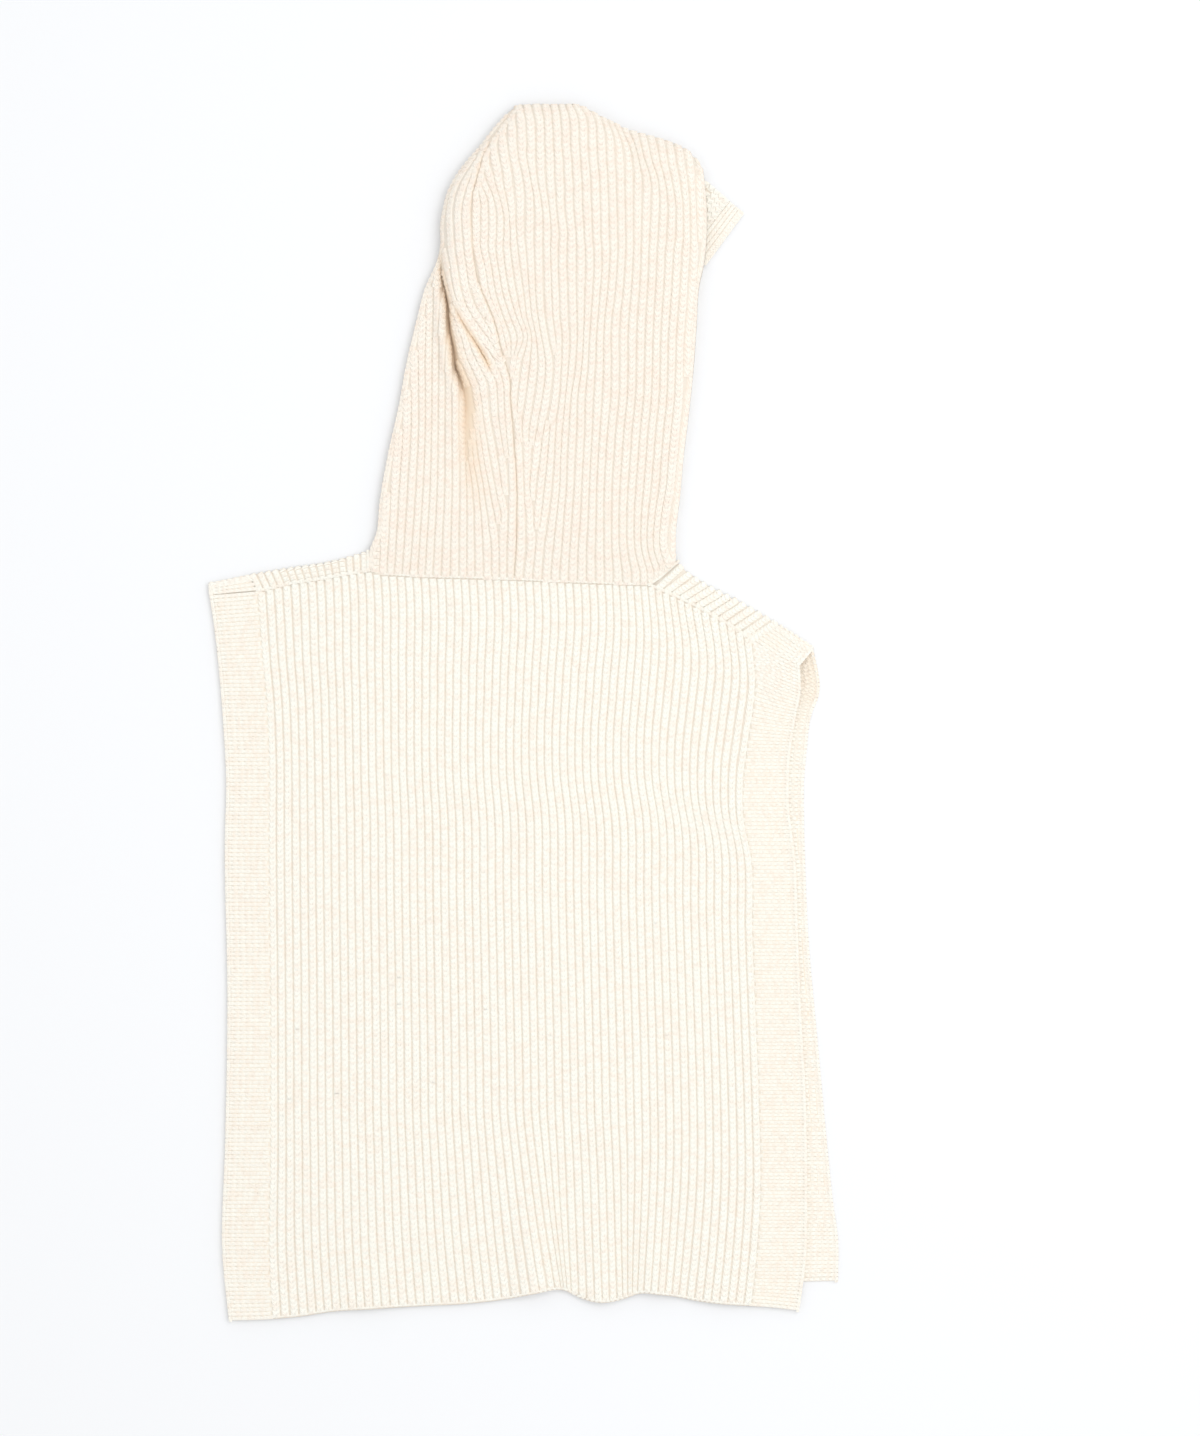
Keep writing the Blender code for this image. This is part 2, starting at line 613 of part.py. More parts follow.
def inward(x, y, least):
    """Moves points nearer the outline than least straight in from it to that distance."""
    edge = from_outline(x, y)
    to_middle = np.stack([HOOD_CENTRE[0] - x, HOOD_CENTRE[1] - y])
    near_x, near_y = np.stack([x, y]) + 4 * to_middle / np.hypot(*to_middle)
    slope_x = from_outline(near_x + 0.5, near_y) - from_outline(near_x - 0.5, near_y)
    slope_y = from_outline(near_x, near_y + 0.5) - from_outline(near_x, near_y - 0.5)
    move = np.clip(least - edge, 0, None) / np.maximum(np.hypot(slope_x, slope_y), 0.01)
    return x + slope_x * move, y + slope_y * move


UNDER_INSET = 0.25                 # how far inside the hood's outline its hidden layers stay
LEDGE = WALL + SEAM_GAP + 0.1      # width of the edge that the hood's upper wall turns under to
# Rings down the side of the hidden layers, with a groove between two of them: (height share, inset)
LAYER_RINGS = [(0, 2.2), (0.22, 0.5), (0.42, 0), (0.48, 1.3), (0.54, 0)]
UNDER_NECK_ROWS = (0, 0.4)         # rows of the hidden layers below the neck seam


def hood_under():
    """The hood's hidden layers, in one rounded solid with its layers parted round the edge."""
    wall = Wall("hood_under", CREAM)
    left = curve(HOOD_LEFT_EDGE, UNDER_INSET)
    right = curve(HOOD_RIGHT_EDGE, -UNDER_INSET)
    seam = curve(HOOD_SEAM)
    stretches = [(hood_plan(left, crease, UNDER_INSET), (True, False)),
                 (hood_plan(crease, seam, UNDER_INSET), (True, False)),
                 (hood_plan(seam, right, UNDER_INSET), (False, True))]
    rows = []
    edge_point = {}
    last = None
    for t in HOOD_ROWS:
        parts = []
        for place, edges in stretches:
            x, _ = place(np.array([0.0, 1.0]), t)
            width = x[1] - x[0]
            x, y = place(plain_shares(width, edges) if width > NARROW else np.zeros(1), t)
            moved_x, moved_y = inward(x, y, LEDGE)
            z = hood_height(moved_x, moved_y, LEDGE, 6) - SEAM_GAP
            parts.append(shared_row(wall, parts, moved_x, moved_y, z))
            edge_point.update(zip(reversed(parts[-1]), zip(reversed(x), reversed(y))))
        for a, b in zip(last or [], parts):
            wall.span(a, b)
        last = parts
        rows.append(joined(parts))
    x, y, z = np.array([vert.co / MM for vert in rows[0][1:-1]]).T
    lens = [rows[0][:1] + wall.row(x, mix(line(FRONT_NECK, x), y, share), z) + rows[0][-1:]
            for share in UNDER_NECK_ROWS]
    wall.skin(lens + rows[:1])
    around = [row[-1] for row in rows[:-1]] + rows[-1][:0:-1] + [row[0] for row in rows[::-1]]
    ledge = [wall.row(*edge_point[vert], vert.co.z / MM)[0] for vert in around]
    wall.zip(around, ledge)
    border = lens[0][1:-1] + ledge
    wall.face(lens[0][-2], around[0], ledge[0])
    wall.face(lens[0][1], around[-1], ledge[-1])
    points = np.array([vert.co / MM for vert in border])
    along = (np.roll(points, -1, 0) - np.roll(points, 1, 0))[:, :2]
    normal = np.stack([-along[:, 1], along[:, 0]], 1) / np.hypot(*along.T)[:, None]
    rings = []
    for share, depth in LAYER_RINGS:
        moved = points[:, :2] + normal * depth
        rings.append(wall.row(*moved.T, points[:, 2] * share))
    rings.append(border)
    for a, b in zip(rings, rings[1:]):
        wall.zip(a + a[:1], b + b[:1])
    wall.mesh.faces.new(rings[0])
    return wall.finish()


def hood_left():
    return hood_half("hood_left", [
        (hood_plan(curve(HOOD_LEFT_EDGE), crease), True, (True, False)),
        (hood_plan(crease, curve(HOOD_SEAM)), True, (True, False))])


def hood_right():
    return hood_half("hood_right", [
        (hood_plan(curve(HOOD_SEAM, SEAM_GAP), curve(HOOD_RIGHT_EDGE)), False, (False, True))])


def hood_peak():
    """Front corner of the hood's lower layer, past the right fold, ribbed along its face edge."""
    wall = Wall("hood_peak", CREAM)
    outer, inner = [], []
    for share, high in zip(np.linspace(0, 1, 2 * PEAK_RIBS + 1), rib(PEAK_RIBS)):
        points = np.array([mix(*np.array(side), share) for side in (PEAK_INNER, PEAK_OUTER)])
        outer.append(wall.row(*points.T, PEAK_WALL + PEAK_RIB_HEIGHT * high))
        inner.append(wall.row(*points.T, 0))
    wall.skin(outer)
    wall.skin(inner)
    wall.close(outer, inner)
    return wall.finish()


def hood_band():
    """Plain trim along the face edge, where it shows at the peak."""
    wall = Wall("hood_band", CREAM_BAND)
    corners = np.array(PEAK_TRIM)
    outer = [wall.row(*pair.T, PEAK_WALL) for pair in (corners[:2], corners[:1:-1])]
    inner = [wall.row(*pair.T, 0) for pair in (corners[:2], corners[:1:-1])]
    wall.skin(outer)
    wall.skin(inner)
    wall.close(outer, inner)
    return wall.finish()


COLLECTION = "cape_hoodie"


def main():
    for obj in list(bpy.data.objects):
        bpy.data.objects.remove(obj)
    objects = [
        back_panel(),
        back_band("back_band_left", LEFT_SEAM, LEFT_EDGE, -1),
        back_band("back_band_right", RIGHT_SEAM, RIGHT_EDGE, 1),
        front_panel(),
        *front_bands(),
        hood_left(),
        hood_right(),
        hood_under(),
        hood_peak(),
        hood_band(),
    ]
    collection = bpy.data.collections.new(COLLECTION)
    bpy.context.scene.collection.children.link(collection)
    for obj in objects:
        collection.objects.link(obj)


main()
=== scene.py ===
# Cape hoodie in cream rib knit, laid flat on its front with its back up and its hood folded over.
# Tables are in millimetres: x to the right, y from the hem to the crown of the hood, and z up
# from the surface it lies on.
import math

import bpy
import numpy as np
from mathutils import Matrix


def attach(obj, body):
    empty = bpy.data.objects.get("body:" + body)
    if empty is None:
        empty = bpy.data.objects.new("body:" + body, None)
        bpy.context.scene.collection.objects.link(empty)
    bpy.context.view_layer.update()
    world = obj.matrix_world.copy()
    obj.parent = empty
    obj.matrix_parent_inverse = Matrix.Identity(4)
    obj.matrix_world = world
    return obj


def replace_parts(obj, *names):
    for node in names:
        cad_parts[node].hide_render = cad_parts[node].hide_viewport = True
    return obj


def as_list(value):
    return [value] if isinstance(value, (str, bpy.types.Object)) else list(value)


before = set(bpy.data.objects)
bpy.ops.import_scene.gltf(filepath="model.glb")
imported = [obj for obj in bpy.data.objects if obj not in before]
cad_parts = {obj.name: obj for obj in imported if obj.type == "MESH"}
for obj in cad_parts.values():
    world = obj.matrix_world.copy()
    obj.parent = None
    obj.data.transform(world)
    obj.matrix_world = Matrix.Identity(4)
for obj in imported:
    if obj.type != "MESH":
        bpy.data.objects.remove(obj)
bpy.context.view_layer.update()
mm = 0.001
print("frame loaded:", len(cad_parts), "solids")

# What the light is like: a bright tent, with the key a little from the upper right
studio = {
    "cameraLens": 70.0, "sensorWidth": 36,
    "photoWidth": 1200, "photoHeight": 1436,
    "mmPerPixel": 0.765,
    "middlePixel": (524, 713),      # pixel of the photo that lies at the origin
    "worldStrength": 0.88,
    "keyPower": 20.8, "keySize": 1.8, "keyPlace": (0.8, 0.35, 2.2),
    "floorColour": (0.852, 0.863, 0.880), "floorRoughness": 0.9,
    "floorSize": 6, "floorLevel": -0.0003,
}

# Lengthwise lines of the body, hem to shoulder: (y, x)
leftEdge = [(-464, -225), (-411, -230), (-334, -228), (-220, -226), (-97, -228), (-51, -227),
            (-13, -229), (37, -233), (64, -236), (91, -240)]
leftSeam = [(-464, -193), (-411, -195), (-334, -194), (-220, -194), (-97, -195), (-36, -195),
            (10, -197), (41, -200), (93, -204)]
rightSeam = [(-456, 174), (-418, 178), (-373, 181), (-296, 180), (-220, 177), (-166, 175),
             (-112, 174), (-81, 168), (-51, 168), (-21, 172), (21, 177), (56, 174)]
rightEdge = [(-457, 210), (-418, 215), (-357, 216), (-296, 215), (-220, 211), (-166, 209),
             (-112, 207), (-67, 202), (-32, 203), (-4, 207), (18, 211), (36, 210)]
frontRightEdge = [(-434, 240), (-403, 240), (-373, 236), (-334, 232), (-258, 225), (-166, 217),
                  (-120, 215), (-82, 214), (-51, 214), (-30, 216), (0, 220), (13, 225), (50, 221)]
# Crosswise lines of the body: (x, y)
hem = [(-230, -464), (-194, -463), (-171, -461), (-145, -457), (-115, -455), (-78, -453),
       (-41, -451), (-10, -447), (7, -443), (31, -441), (44, -447), (59, -450), (77, -447),
       (89, -443), (106, -444), (133, -449), (161, -452), (189, -454), (216, -457)]
frontHem = [(-230, -455), (-100, -446), (40, -438), (150, -436), (242, -434)]
shoulders = [(-240, 90), (-204, 93), (-179, 99), (-153, 103), (-132, 107), (-119, 109), (-108, 106),
             (-67, 104), (-26, 103), (41, 100), (96, 98), (119, 88), (135, 80), (161, 65), (174, 56),
             (194, 43), (210, 36)]
leftFold = [(-240, 99), (-210, 105), (-187, 109), (-153, 114), (-136, 118), (-119, 123)]
rightFold = [(117, 115), (126, 106), (140, 97), (168, 83), (195, 67), (208, 59), (221, 50)]
frontNeck = [(-119, 108), (-106, 80), (-72, 54), (-7, 42), (58, 50), (85, 70), (96, 97)]
# The hood's outline, back seam and deep crease: (y, x)
hoodLeftEdge = [(109, -118.8), (116, -118.7), (123, -118), (136, -113), (162, -110), (201, -103),
                (232, -96), (265, -90), (299, -82), (325, -75), (343, -67), (356, -64), (373, -64),
                (385, -62), (401, -57), (418, -46), (432, -34), (446, -23), (456, -14)]
hoodSeam = [(102, -7.5), (112, -7.3), (122, -6), (140, -5.4), (163, -5.4), (186, -6.1), (209, -7.7),
            (228, -9.2), (240, -9.9), (251, -10.2), (263, -13),
            (276, -17), (293, -21), (314, -29), (326, -34), (340, -37), (355, -38), (377, -39),
            (394, -38), (405, -35), (426, -29), (440, -21), (450, -14), (460, -7)]
hoodRightEdge = [(98, 95.8), (103, 101.6), (109, 108.8), (115, 115), (124, 116), (135, 116),
                 (162, 119), (194, 122), (236, 127), (266, 130), (295, 132), (325, 134),
                 (344, 138), (377, 140), (397, 139), (415, 137)]
hoodTop = [(-14, 456), (-11, 459), (5, 464), (22, 464), (44, 463), (59, 455), (80, 445), (110, 436),
           (129, 425), (137, 415)]
creaseLine = [(42, -22), (100, -30), (148, -38), (178, -42), (201, -44.4), (216, -45.1), (239, -45.1),
              (253, -48.2), (262, -51.3), (278, -53.6), (289, -55.8), (308, -57.4), (329, -61.2),
              (350, -64)]
# A second, shorter crease that leaves it to the right
sideCrease = [(264, -26.5), (274, -32), (281.5, -36.7), (290.7, -42.8), (300.6, -48.9), (313.6, -55)]


def spline(table, at):
    knots, values = np.array(sorted(table), float).T
    slopes = np.gradient(values, knots)
    at = np.clip(at, knots[0], knots[-1])
    i = np.clip(np.searchsorted(knots, at) - 1, 0, len(knots) - 2)
    gap = knots[i + 1] - knots[i]
    u = (at - knots[i]) / gap
    value = values[i] * (1 + 2 * u) * (1 - u) ** 2 + values[i + 1] * u * u * (3 - 2 * u)
    return value + gap * (slopes[i] * u * (1 - u) ** 2 - slopes[i + 1] * u * u * (1 - u))


def straight(table, at):
    knots, values = np.array(sorted(table), float).T
    return np.interp(at, knots, values)


def lineOf(table, shift=0.0, shape=spline):
    return lambda at: shape(table, at) + shift


def mix(a, b, share):
    return a + (b - a) * share


def ease(share):
    u = np.clip(share, 0, 1)
    return u * u * (3 - 2 * u)


def meeting(side, edge):
    y = 0.0
    for _ in range(40):
        y = float(edge(side(y)))
    return y


# Plan position at share s across and share t up, between four lines
def ruled(left, right, bottom, top):
    leftY = meeting(left, bottom), meeting(left, top)
    rightY = meeting(right, bottom), meeting(right, top)

    def place(s, t):
        x = mix(left(mix(*leftY, t)), right(mix(*rightY, t)), s)
        xLow = mix(left(leftY[0]), right(rightY[0]), s)
        xHigh = mix(left(leftY[1]), right(rightY[1]), s)
        return x, mix(bottom(xLow), top(xHigh), t)

    return place


# Height of soft folds, each from its high end (x0, y0) to where it fades out (x1, y1)
def folds(table, x, y):
    total = np.zeros(np.broadcast(x, y).shape)
    for x0, y0, x1, y1, half, height in table:
        along = np.array([x1 - x0, y1 - y0], float)
        length = np.hypot(*along)
        along /= length
        run = (x - x0) * along[0] + (y - y0) * along[1]
        off = (x - x0) * along[1] - (y - y0) * along[0]
        before = np.clip(-run, 0, None)
        total += height * (1 - ease(run / length)) * np.exp(-(off ** 2 + before ** 2) / half ** 2)
    return total


# Yarn and knit
yarn = {
    "deep": (0.86, 0.75, 0.62),              # single darker fibres
    "paintedWarmShade": (0.89, 0.69, 0.48), "shade": (0.38, 0.25, 0.15),      # painted warm shade beside a crease, and painted dark shade deep in it
    "roughness": 0.9, "sheen": 0.35, "sheenSpread": 0.6, "sheenTint": (1.0, 0.96, 0.9, 1), "gloss": 0.2,
    "cloud": (165, 2), "fleck": (420, 3), "fibre": (1500, 3, 0.7),     # noise scale, detail, roughness
    "stitchShare": 0.5, "fleckShare": 0.35,      # how much single stitches and fibres differ
    "fibreBump": 0.35, "fibreDepth": 0.0004,
    "unevenness": 0.06,      # how much the stitches differ in width and height
}


# Adds nodes to a tree. Inputs are given by name or place, as a value or as the socket that feeds them
def nodeAdder(tree):
    def add(kind, inputs=None, **settings):
        node = tree.nodes.new(kind)
        for key, value in settings.items():
            setattr(node, key, value)
        for key, value in (inputs or {}).items():
            if isinstance(value, bpy.types.NodeSocket):
                tree.links.new(value, node.inputs[key])
            else:
                node.inputs[key].default_value = value
        return node

    return add


def newMaterial(name, pale, peach, streak):
    material = bpy.data.materials.new(name)
    material.use_nodes = True
    add = nodeAdder(material.node_tree)
    place = add("ShaderNodeTexCoord").outputs["Object"]
    stretched = add("ShaderNodeMapping", {"Vector": place, "Scale": streak}).outputs["Vector"]

    def noise(scale, detail, rough=0.6):
        return add("ShaderNodeTexNoise", {"Vector": stretched, "Scale": scale, "Detail": detail,
                                          "Roughness": rough}).outputs["Fac"]

    def ramp(value, low, high):
        return add("ShaderNodeMapRange", {"Value": value, "From Min": low, "From Max": high},
                   interpolation_type="SMOOTHSTEP").outputs["Result"]

    def blend(factor, a, b):
        return add("ShaderNodeMix", {"Factor": factor, "A": a, "B": b},
                   data_type="RGBA").outputs["Result"]

    def attribute(label):
        return add("ShaderNodeAttribute", attribute_name=label).outputs["Fac"]

    cloud = ramp(noise(*yarn["cloud"]), 0.38, 0.68)
    fleck = ramp(noise(*yarn["fleck"]), 0.52, 0.75)
    stitch = add("ShaderNodeMath", {0: attribute("tone"), 1: yarn["stitchShare"], 2: cloud},
                 operation="MULTIPLY_ADD").outputs[0]
    fleck = add("ShaderNodeMath", {0: fleck, 1: yarn["fleckShare"]}, operation="MULTIPLY").outputs[0]
    colour = blend(fleck, blend(ramp(stitch, 0.25, 1.3), (*pale, 1), (*peach, 1)), (*yarn["deep"], 1))
    # Painted shade: the yarn colour is blended towards the warm and the dark shade colours where the piece's
    # attributes ask for it
    for depth in ("paintedWarmShade", "shade"):
        colour = blend(attribute(depth), colour, (*yarn[depth], 1))
    bump = add("ShaderNodeBump", {"Strength": yarn["fibreBump"], "Distance": yarn["fibreDepth"],
                                  "Height": noise(*yarn["fibre"])}).outputs["Normal"]
    shader = material.node_tree.nodes["Principled BSDF"].inputs
    for label, value in (("Roughness", yarn["roughness"]), ("Sheen Weight", yarn["sheen"]),
                         ("Sheen Roughness", yarn["sheenSpread"]), ("Sheen Tint", yarn["sheenTint"]),
                         ("Specular IOR Level", yarn["gloss"])):
        shader[label].default_value = value
    material.node_tree.links.new(colour, shader["Base Color"])
    material.node_tree.links.new(bump, shader["Normal"])
    return material


lengthwise, crosswise = (0.8, 1.2, 1.0), (1.2, 0.8, 1.0)      # how the patches are drawn out
ribYarn = newMaterial("cream_rib_yarn", (0.94, 0.928, 0.862), (0.935, 0.882, 0.80), lengthwise)
hoodYarn = newMaterial("cream_hood_yarn", (0.93, 0.88, 0.80), (0.925, 0.835, 0.745), lengthwise)
bandYarn = newMaterial("cream_band_yarn", (0.945, 0.922, 0.855), (0.94, 0.885, 0.805), crosswise)
# The ground colours are a darker beige than the yarns: painted shade of the valleys between the ribs
groundKnitPaintedShade = newMaterial("cream_ground_knit_painted_shade", (0.80, 0.735, 0.645), (0.79, 0.70, 0.60), lengthwise)
bandGroundPaintedShade = newMaterial("cream_band_ground_painted_shade", (0.88, 0.82, 0.72), (0.87, 0.79, 0.68), crosswise)
print("yarns dyed")


# One knit stitch a unit wide and long: a low pad that fills the rib, and two legs that lean out
# from its middle. Leg rows: place along the leg as (x, y, height), then half width and half height
stitchForm = {
    "pad": [(-0.455, -0.40), (-0.37, 0.40), (0.0, 0.74), (0.37, 0.40), (0.455, -0.40)],
    "padHalf": 0.55,
    "leg": [
        (0.06, -0.62, 0.45, 0.00, 0.00), (0.14, -0.20, 0.78, 0.12, 0.44),
        (0.28, 0.28, 0.66, 0.12, 0.44), (0.49, 0.60, -0.05, 0.00, 0.00),
    ],
    "legSides": 4,
}


def stitchLeg(mirror, first):
    leg, sides = stitchForm["leg"], stitchForm["legSides"]
    verts, faces = [(mirror * leg[0][0], *leg[0][1:3])], []
    for x, y, z, halfWidth, halfHeight in leg[1:-1]:
        for k in range(sides):
            angle = 2 * math.pi * k / sides
            verts.append((mirror * (x + halfWidth * math.cos(angle)), y,
                          z + halfHeight * math.sin(angle)))
    verts.append((mirror * leg[-1][0], *leg[-1][1:3]))
    last = first + 1 + (len(leg) - 3) * sides
    for k in range(sides):
        after = (k + 1) % sides
        faces.append((first, first + 1 + after, first + 1 + k))
        for a in range(first + 1, last, sides):
            faces.append((a + k, a + after, a + sides + after, a + sides + k))
        faces.append((last + k, last + after, first + len(verts) - 1))
    return verts, [face[::mirror] for face in faces]


def stitchObject(name):
    pad, half = stitchForm["pad"], stitchForm["padHalf"]
    count = len(pad)
    verts = [(x, end, z) for end in (-half, half) for x, z in pad]
    faces = [(k, (k + 1) % count, (k + 1) % count + count, k + count) for k in range(count)]
    faces += [tuple(range(count))[::-1], tuple(range(count, 2 * count))]
    flat = len(faces)
    for mirror in (1, -1):
        legVerts, legFaces = stitchLeg(mirror, len(verts))
        verts += legVerts
        faces += legFaces
    mesh = bpy.data.meshes.new(name)
    mesh.from_pydata(verts, [], faces)
    mesh.polygons.foreach_set("use_smooth", [k >= flat for k in range(len(faces))])
    stitch = bpy.data.objects.new(name, mesh)
    bpy.context.scene.collection.objects.link(stitch)
    stitch.hide_render = True
    return stitch


# Walks along each rib of a guide and sets a stitch at every course
def knittingTree():
    tree = bpy.data.node_groups.new("knitted_ribs", "GeometryNodeTree")
    for label, way, kind in (("Geometry", "INPUT", "Geometry"), ("Stitch", "INPUT", "Object"),
                             ("Course", "INPUT", "Float"), ("Unevenness", "INPUT", "Float"),
                             ("Seed", "INPUT", "Int"), ("Yarn", "INPUT", "Material"),
                             ("Geometry", "OUTPUT", "Geometry")):
        tree.interface.new_socket(label, in_out=way, socket_type="NodeSocket" + kind)
    add = nodeAdder(tree)
    given = add("NodeGroupInput").outputs

    def named(label, kind="FLOAT"):
        return add("GeometryNodeInputNamedAttribute", {"Name": label}, data_type=kind).outputs["Attribute"]

    def maths(operation, a, b):
        return add("ShaderNodeMath", {0: a, 1: b}, operation=operation).outputs[0]

    def chance(**limits):
        return add("FunctionNodeRandomValue", {"Seed": given["Seed"], **limits},
                   data_type="FLOAT").outputs["Value"]

    curve = add("GeometryNodeMeshToCurve", {"Mesh": given["Geometry"]}).outputs["Curve"]
    courses = add("GeometryNodeResampleCurve", {"Curve": curve, "Length": given["Course"]}, mode="LENGTH")
    turn = add("FunctionNodeAxesToRotation", {
        "Primary Axis": named("up", "FLOAT_VECTOR"),
        "Secondary Axis": add("GeometryNodeInputTangent").outputs["Tangent"],
    }, primary_axis="Z", secondary_axis="Y")
    uneven = chance(Min=maths("SUBTRACT", 1.0, given["Unevenness"]),
                    Max=maths("ADD", 1.0, given["Unevenness"]))
    size = add("ShaderNodeCombineXYZ", {
        "X": maths("MULTIPLY", named("ribWidth"), uneven), "Y": given["Course"],
        "Z": maths("MULTIPLY", named("relief"), uneven),
    })
    placed = add("GeometryNodeInstanceOnPoints", {
        "Points": courses.outputs["Curve"], "Rotation": turn.outputs["Rotation"],
        "Instance": add("GeometryNodeObjectInfo", {"Object": given["Stitch"]}).outputs["Geometry"],
        "Scale": size.outputs["Vector"],
    })
    toned = add("GeometryNodeStoreNamedAttribute", {
        "Geometry": placed.outputs["Instances"], "Name": "tone", "Value": chance(),
    }, data_type="FLOAT", domain="INSTANCE")
    real = add("GeometryNodeRealizeInstances", {"Geometry": toned.outputs["Geometry"]})
    dyed = add("GeometryNodeSetMaterial", {"Geometry": real.outputs["Geometry"], "Material": given["Yarn"]})
    add("NodeGroupOutput", {"Geometry": dyed.outputs["Geometry"]})
    return tree


knitting = knittingTree()
ribStitch = stitchObject("rib_stitch")


def asMesh(obj, name):
    evaluated = obj.evaluated_get(bpy.context.evaluated_depsgraph_get())
    mesh = bpy.data.meshes.new_from_object(evaluated)
    mesh.name = name
    obj.modifiers.clear()
    old = obj.data
    obj.data = mesh
    bpy.data.meshes.remove(old)
    return obj


def setAttribute(mesh, label, values):
    mesh.attributes.new(label, "FLOAT", "POINT").data.foreach_set("value", values)


# Plan position of every point of a piece, in mm
def planOf(piece):
    points = np.empty(3 * len(piece.data.vertices))
    piece.data.vertices.foreach_get("co", points)
    return points.reshape(-1, 3)[:, :2].T / mm


# lines: (points, ups, widths, reliefs), lengths in mm
def knitRibs(name, lines, course, material, seed):
    points = np.concatenate([line[0] for line in lines]) * mm
    counts = [len(line[0]) for line in lines]
    starts = np.cumsum([0] + counts)
    edges = [(s + k, s + k + 1) for s, count in zip(starts, counts) for k in range(count - 1)]
    mesh = bpy.data.meshes.new(name)
    mesh.from_pydata(points.tolist(), edges, [])
    up = mesh.attributes.new("up", "FLOAT_VECTOR", "POINT")
    up.data.foreach_set("vector", np.concatenate([line[1] for line in lines]).ravel())
    for label, column in (("ribWidth", 2), ("relief", 3)):
        values = np.concatenate([np.broadcast_to(line[column], len(line[0])) for line in lines])
        setAttribute(mesh, label, values * mm)
    ribs = bpy.data.objects.new(name, mesh)
    bpy.context.scene.collection.objects.link(ribs)
    modifier = ribs.modifiers.new("knitting", "NODES")
    modifier.node_group = knitting
    given = {"Stitch": ribStitch, "Course": course * mm, "Unevenness": yarn["unevenness"],
             "Seed": seed, "Yarn": material}
    for item in knitting.interface.items_tree:
        if item.in_out == "INPUT" and item.name in given:
            modifier[item.identifier] = given[item.name]
    asMesh(ribs, name)
    print(name, len(ribs.data.polygons), "faces")
    return ribs


# A thin cloth through rows of points, with its wall below them
def clothShell(name, rows, wall, material):
    across = len(rows[0][0])
    grid = np.array([np.stack(row, 1) for row in rows])
    wide = np.linalg.norm(np.diff(grid, axis=1), axis=2).sum(1).max()
    tall = np.linalg.norm(np.diff(grid, axis=0), axis=2).sum(0).max()
    corners = np.cross(grid[1:, 1:] - grid[:-1, :-1], grid[1:, :-1] - grid[:-1, 1:])
    area = np.linalg.norm(corners, axis=2).sum() / 2
    print(f"{name} {wide:.0f} x {tall:.0f} mm, {area / 100:.1f} square cm")
    verts = grid.reshape(-1, 3) * mm
    faces = []
    for j in range(len(rows) - 1):
        for i in range(across - 1):
            a = j * across + i
            faces.append((a, a + 1, a + across + 1, a + across))
    mesh = bpy.data.meshes.new(name)
    mesh.from_pydata(verts.tolist(), [], faces)
    mesh.polygons.foreach_set("use_smooth", [True] * len(faces))
    mesh.materials.append(material)
    cloth = bpy.data.objects.new(name, mesh)
    bpy.context.scene.collection.objects.link(cloth)
    modifier = cloth.modifiers.new("wall", "SOLIDIFY")
    modifier.thickness = wall * mm
    modifier.offset = -1
    return asMesh(cloth, name)


# A cloth at a height over a plan, with rows of points up it
def clothOver(name, place, height, across, up, wall, material):
    rows = []
    for t in np.linspace(0, 1, up):
        x, y = place(across, t)
        rows.append((x, y, height(x, y)))
    return clothShell(name, rows, wall, material)


def levelAt(z):
    return lambda x, y: np.full(np.broadcast(x, y).shape, z)


def unit(vectors):
    return vectors / np.linalg.norm(vectors, axis=1)[:, None]


def raised(plan, z):
    return np.concatenate([plan, np.full((len(plan), 1), z)], 1)


def upward(points):
    return np.tile((0.0, 0.0, 1.0), (len(points), 1))


# Unit normals of a height z = f(x, y) at plan points
def upOf(height, x, y, step=0.6):
    slopeX = (height(x + step, y) - height(x - step, y)) / (2 * step)
    slopeY = (height(x, y + step) - height(x, y - step)) / (2 * step)
    return unit(np.stack([-slopeX, -slopeY, np.ones_like(slopeX)], 1))


def ribLine(height, x, y, width, relief):
    return np.stack([x, y, height(x, y)], 1), upOf(height, x, y), width, relief


# Back panel
backPanel = {
    "ground": 3.75,        # height of the purl ground between the ribs
    "wall": 1.5,
    "ribs": 62, "course": 4.0, "relief": 1.1,
    "seamGap": 0.7, "hemGap": 1.0,        # how far the ribs stop before the seam and the hem
    # waves: (x0, y0, x1, y1, half width, height)
    "waves": [
        (9, -446, 4, -320, 15, 5.5), (60, -449, 58, -370, 13, 3.0), (101, -446, 96, -350, 14, 4.5),
        (-120, -458, -128, -360, 22, 2.0), (150, -450, 140, -340, 20, 2.5),
        (208, 44, 150, -30, 26, 4.5), (170, -70, 110, -60, 22, 2.5),
    ],
    # how far the ribs lean to the right by the time they reach the hem, and the neck: (x, shift)
    "hemLean": [(-196, 0), (-171, 3.8), (-120, 6.5), (-61, 12.3), (-30, 15.8), (-12, 20.5), (0, 21.5),
                (8, 20.5), (16, 15.5), (26, 10.3), (50, 9.5), (64, 8.5), (75, 5), (81, 2.6), (90, 0),
                (124, -3.1), (180, 0)],
    "neckLean": [(-206, 0), (-150, 3.0), (60, 3.5), (92, 0), (130, -4.0), (178, 0)],
    "hemReach": (-302, 141), "neckReach": (25, 75),      # y where the lean starts, and its depth
}


def bodyHeight(x, y):
    return backPanel["ground"] + folds(backPanel["waves"], x, y)


backPlan = ruled(lineOf(leftSeam), lineOf(rightSeam), lineOf(hem), lineOf(shoulders, shape=straight))


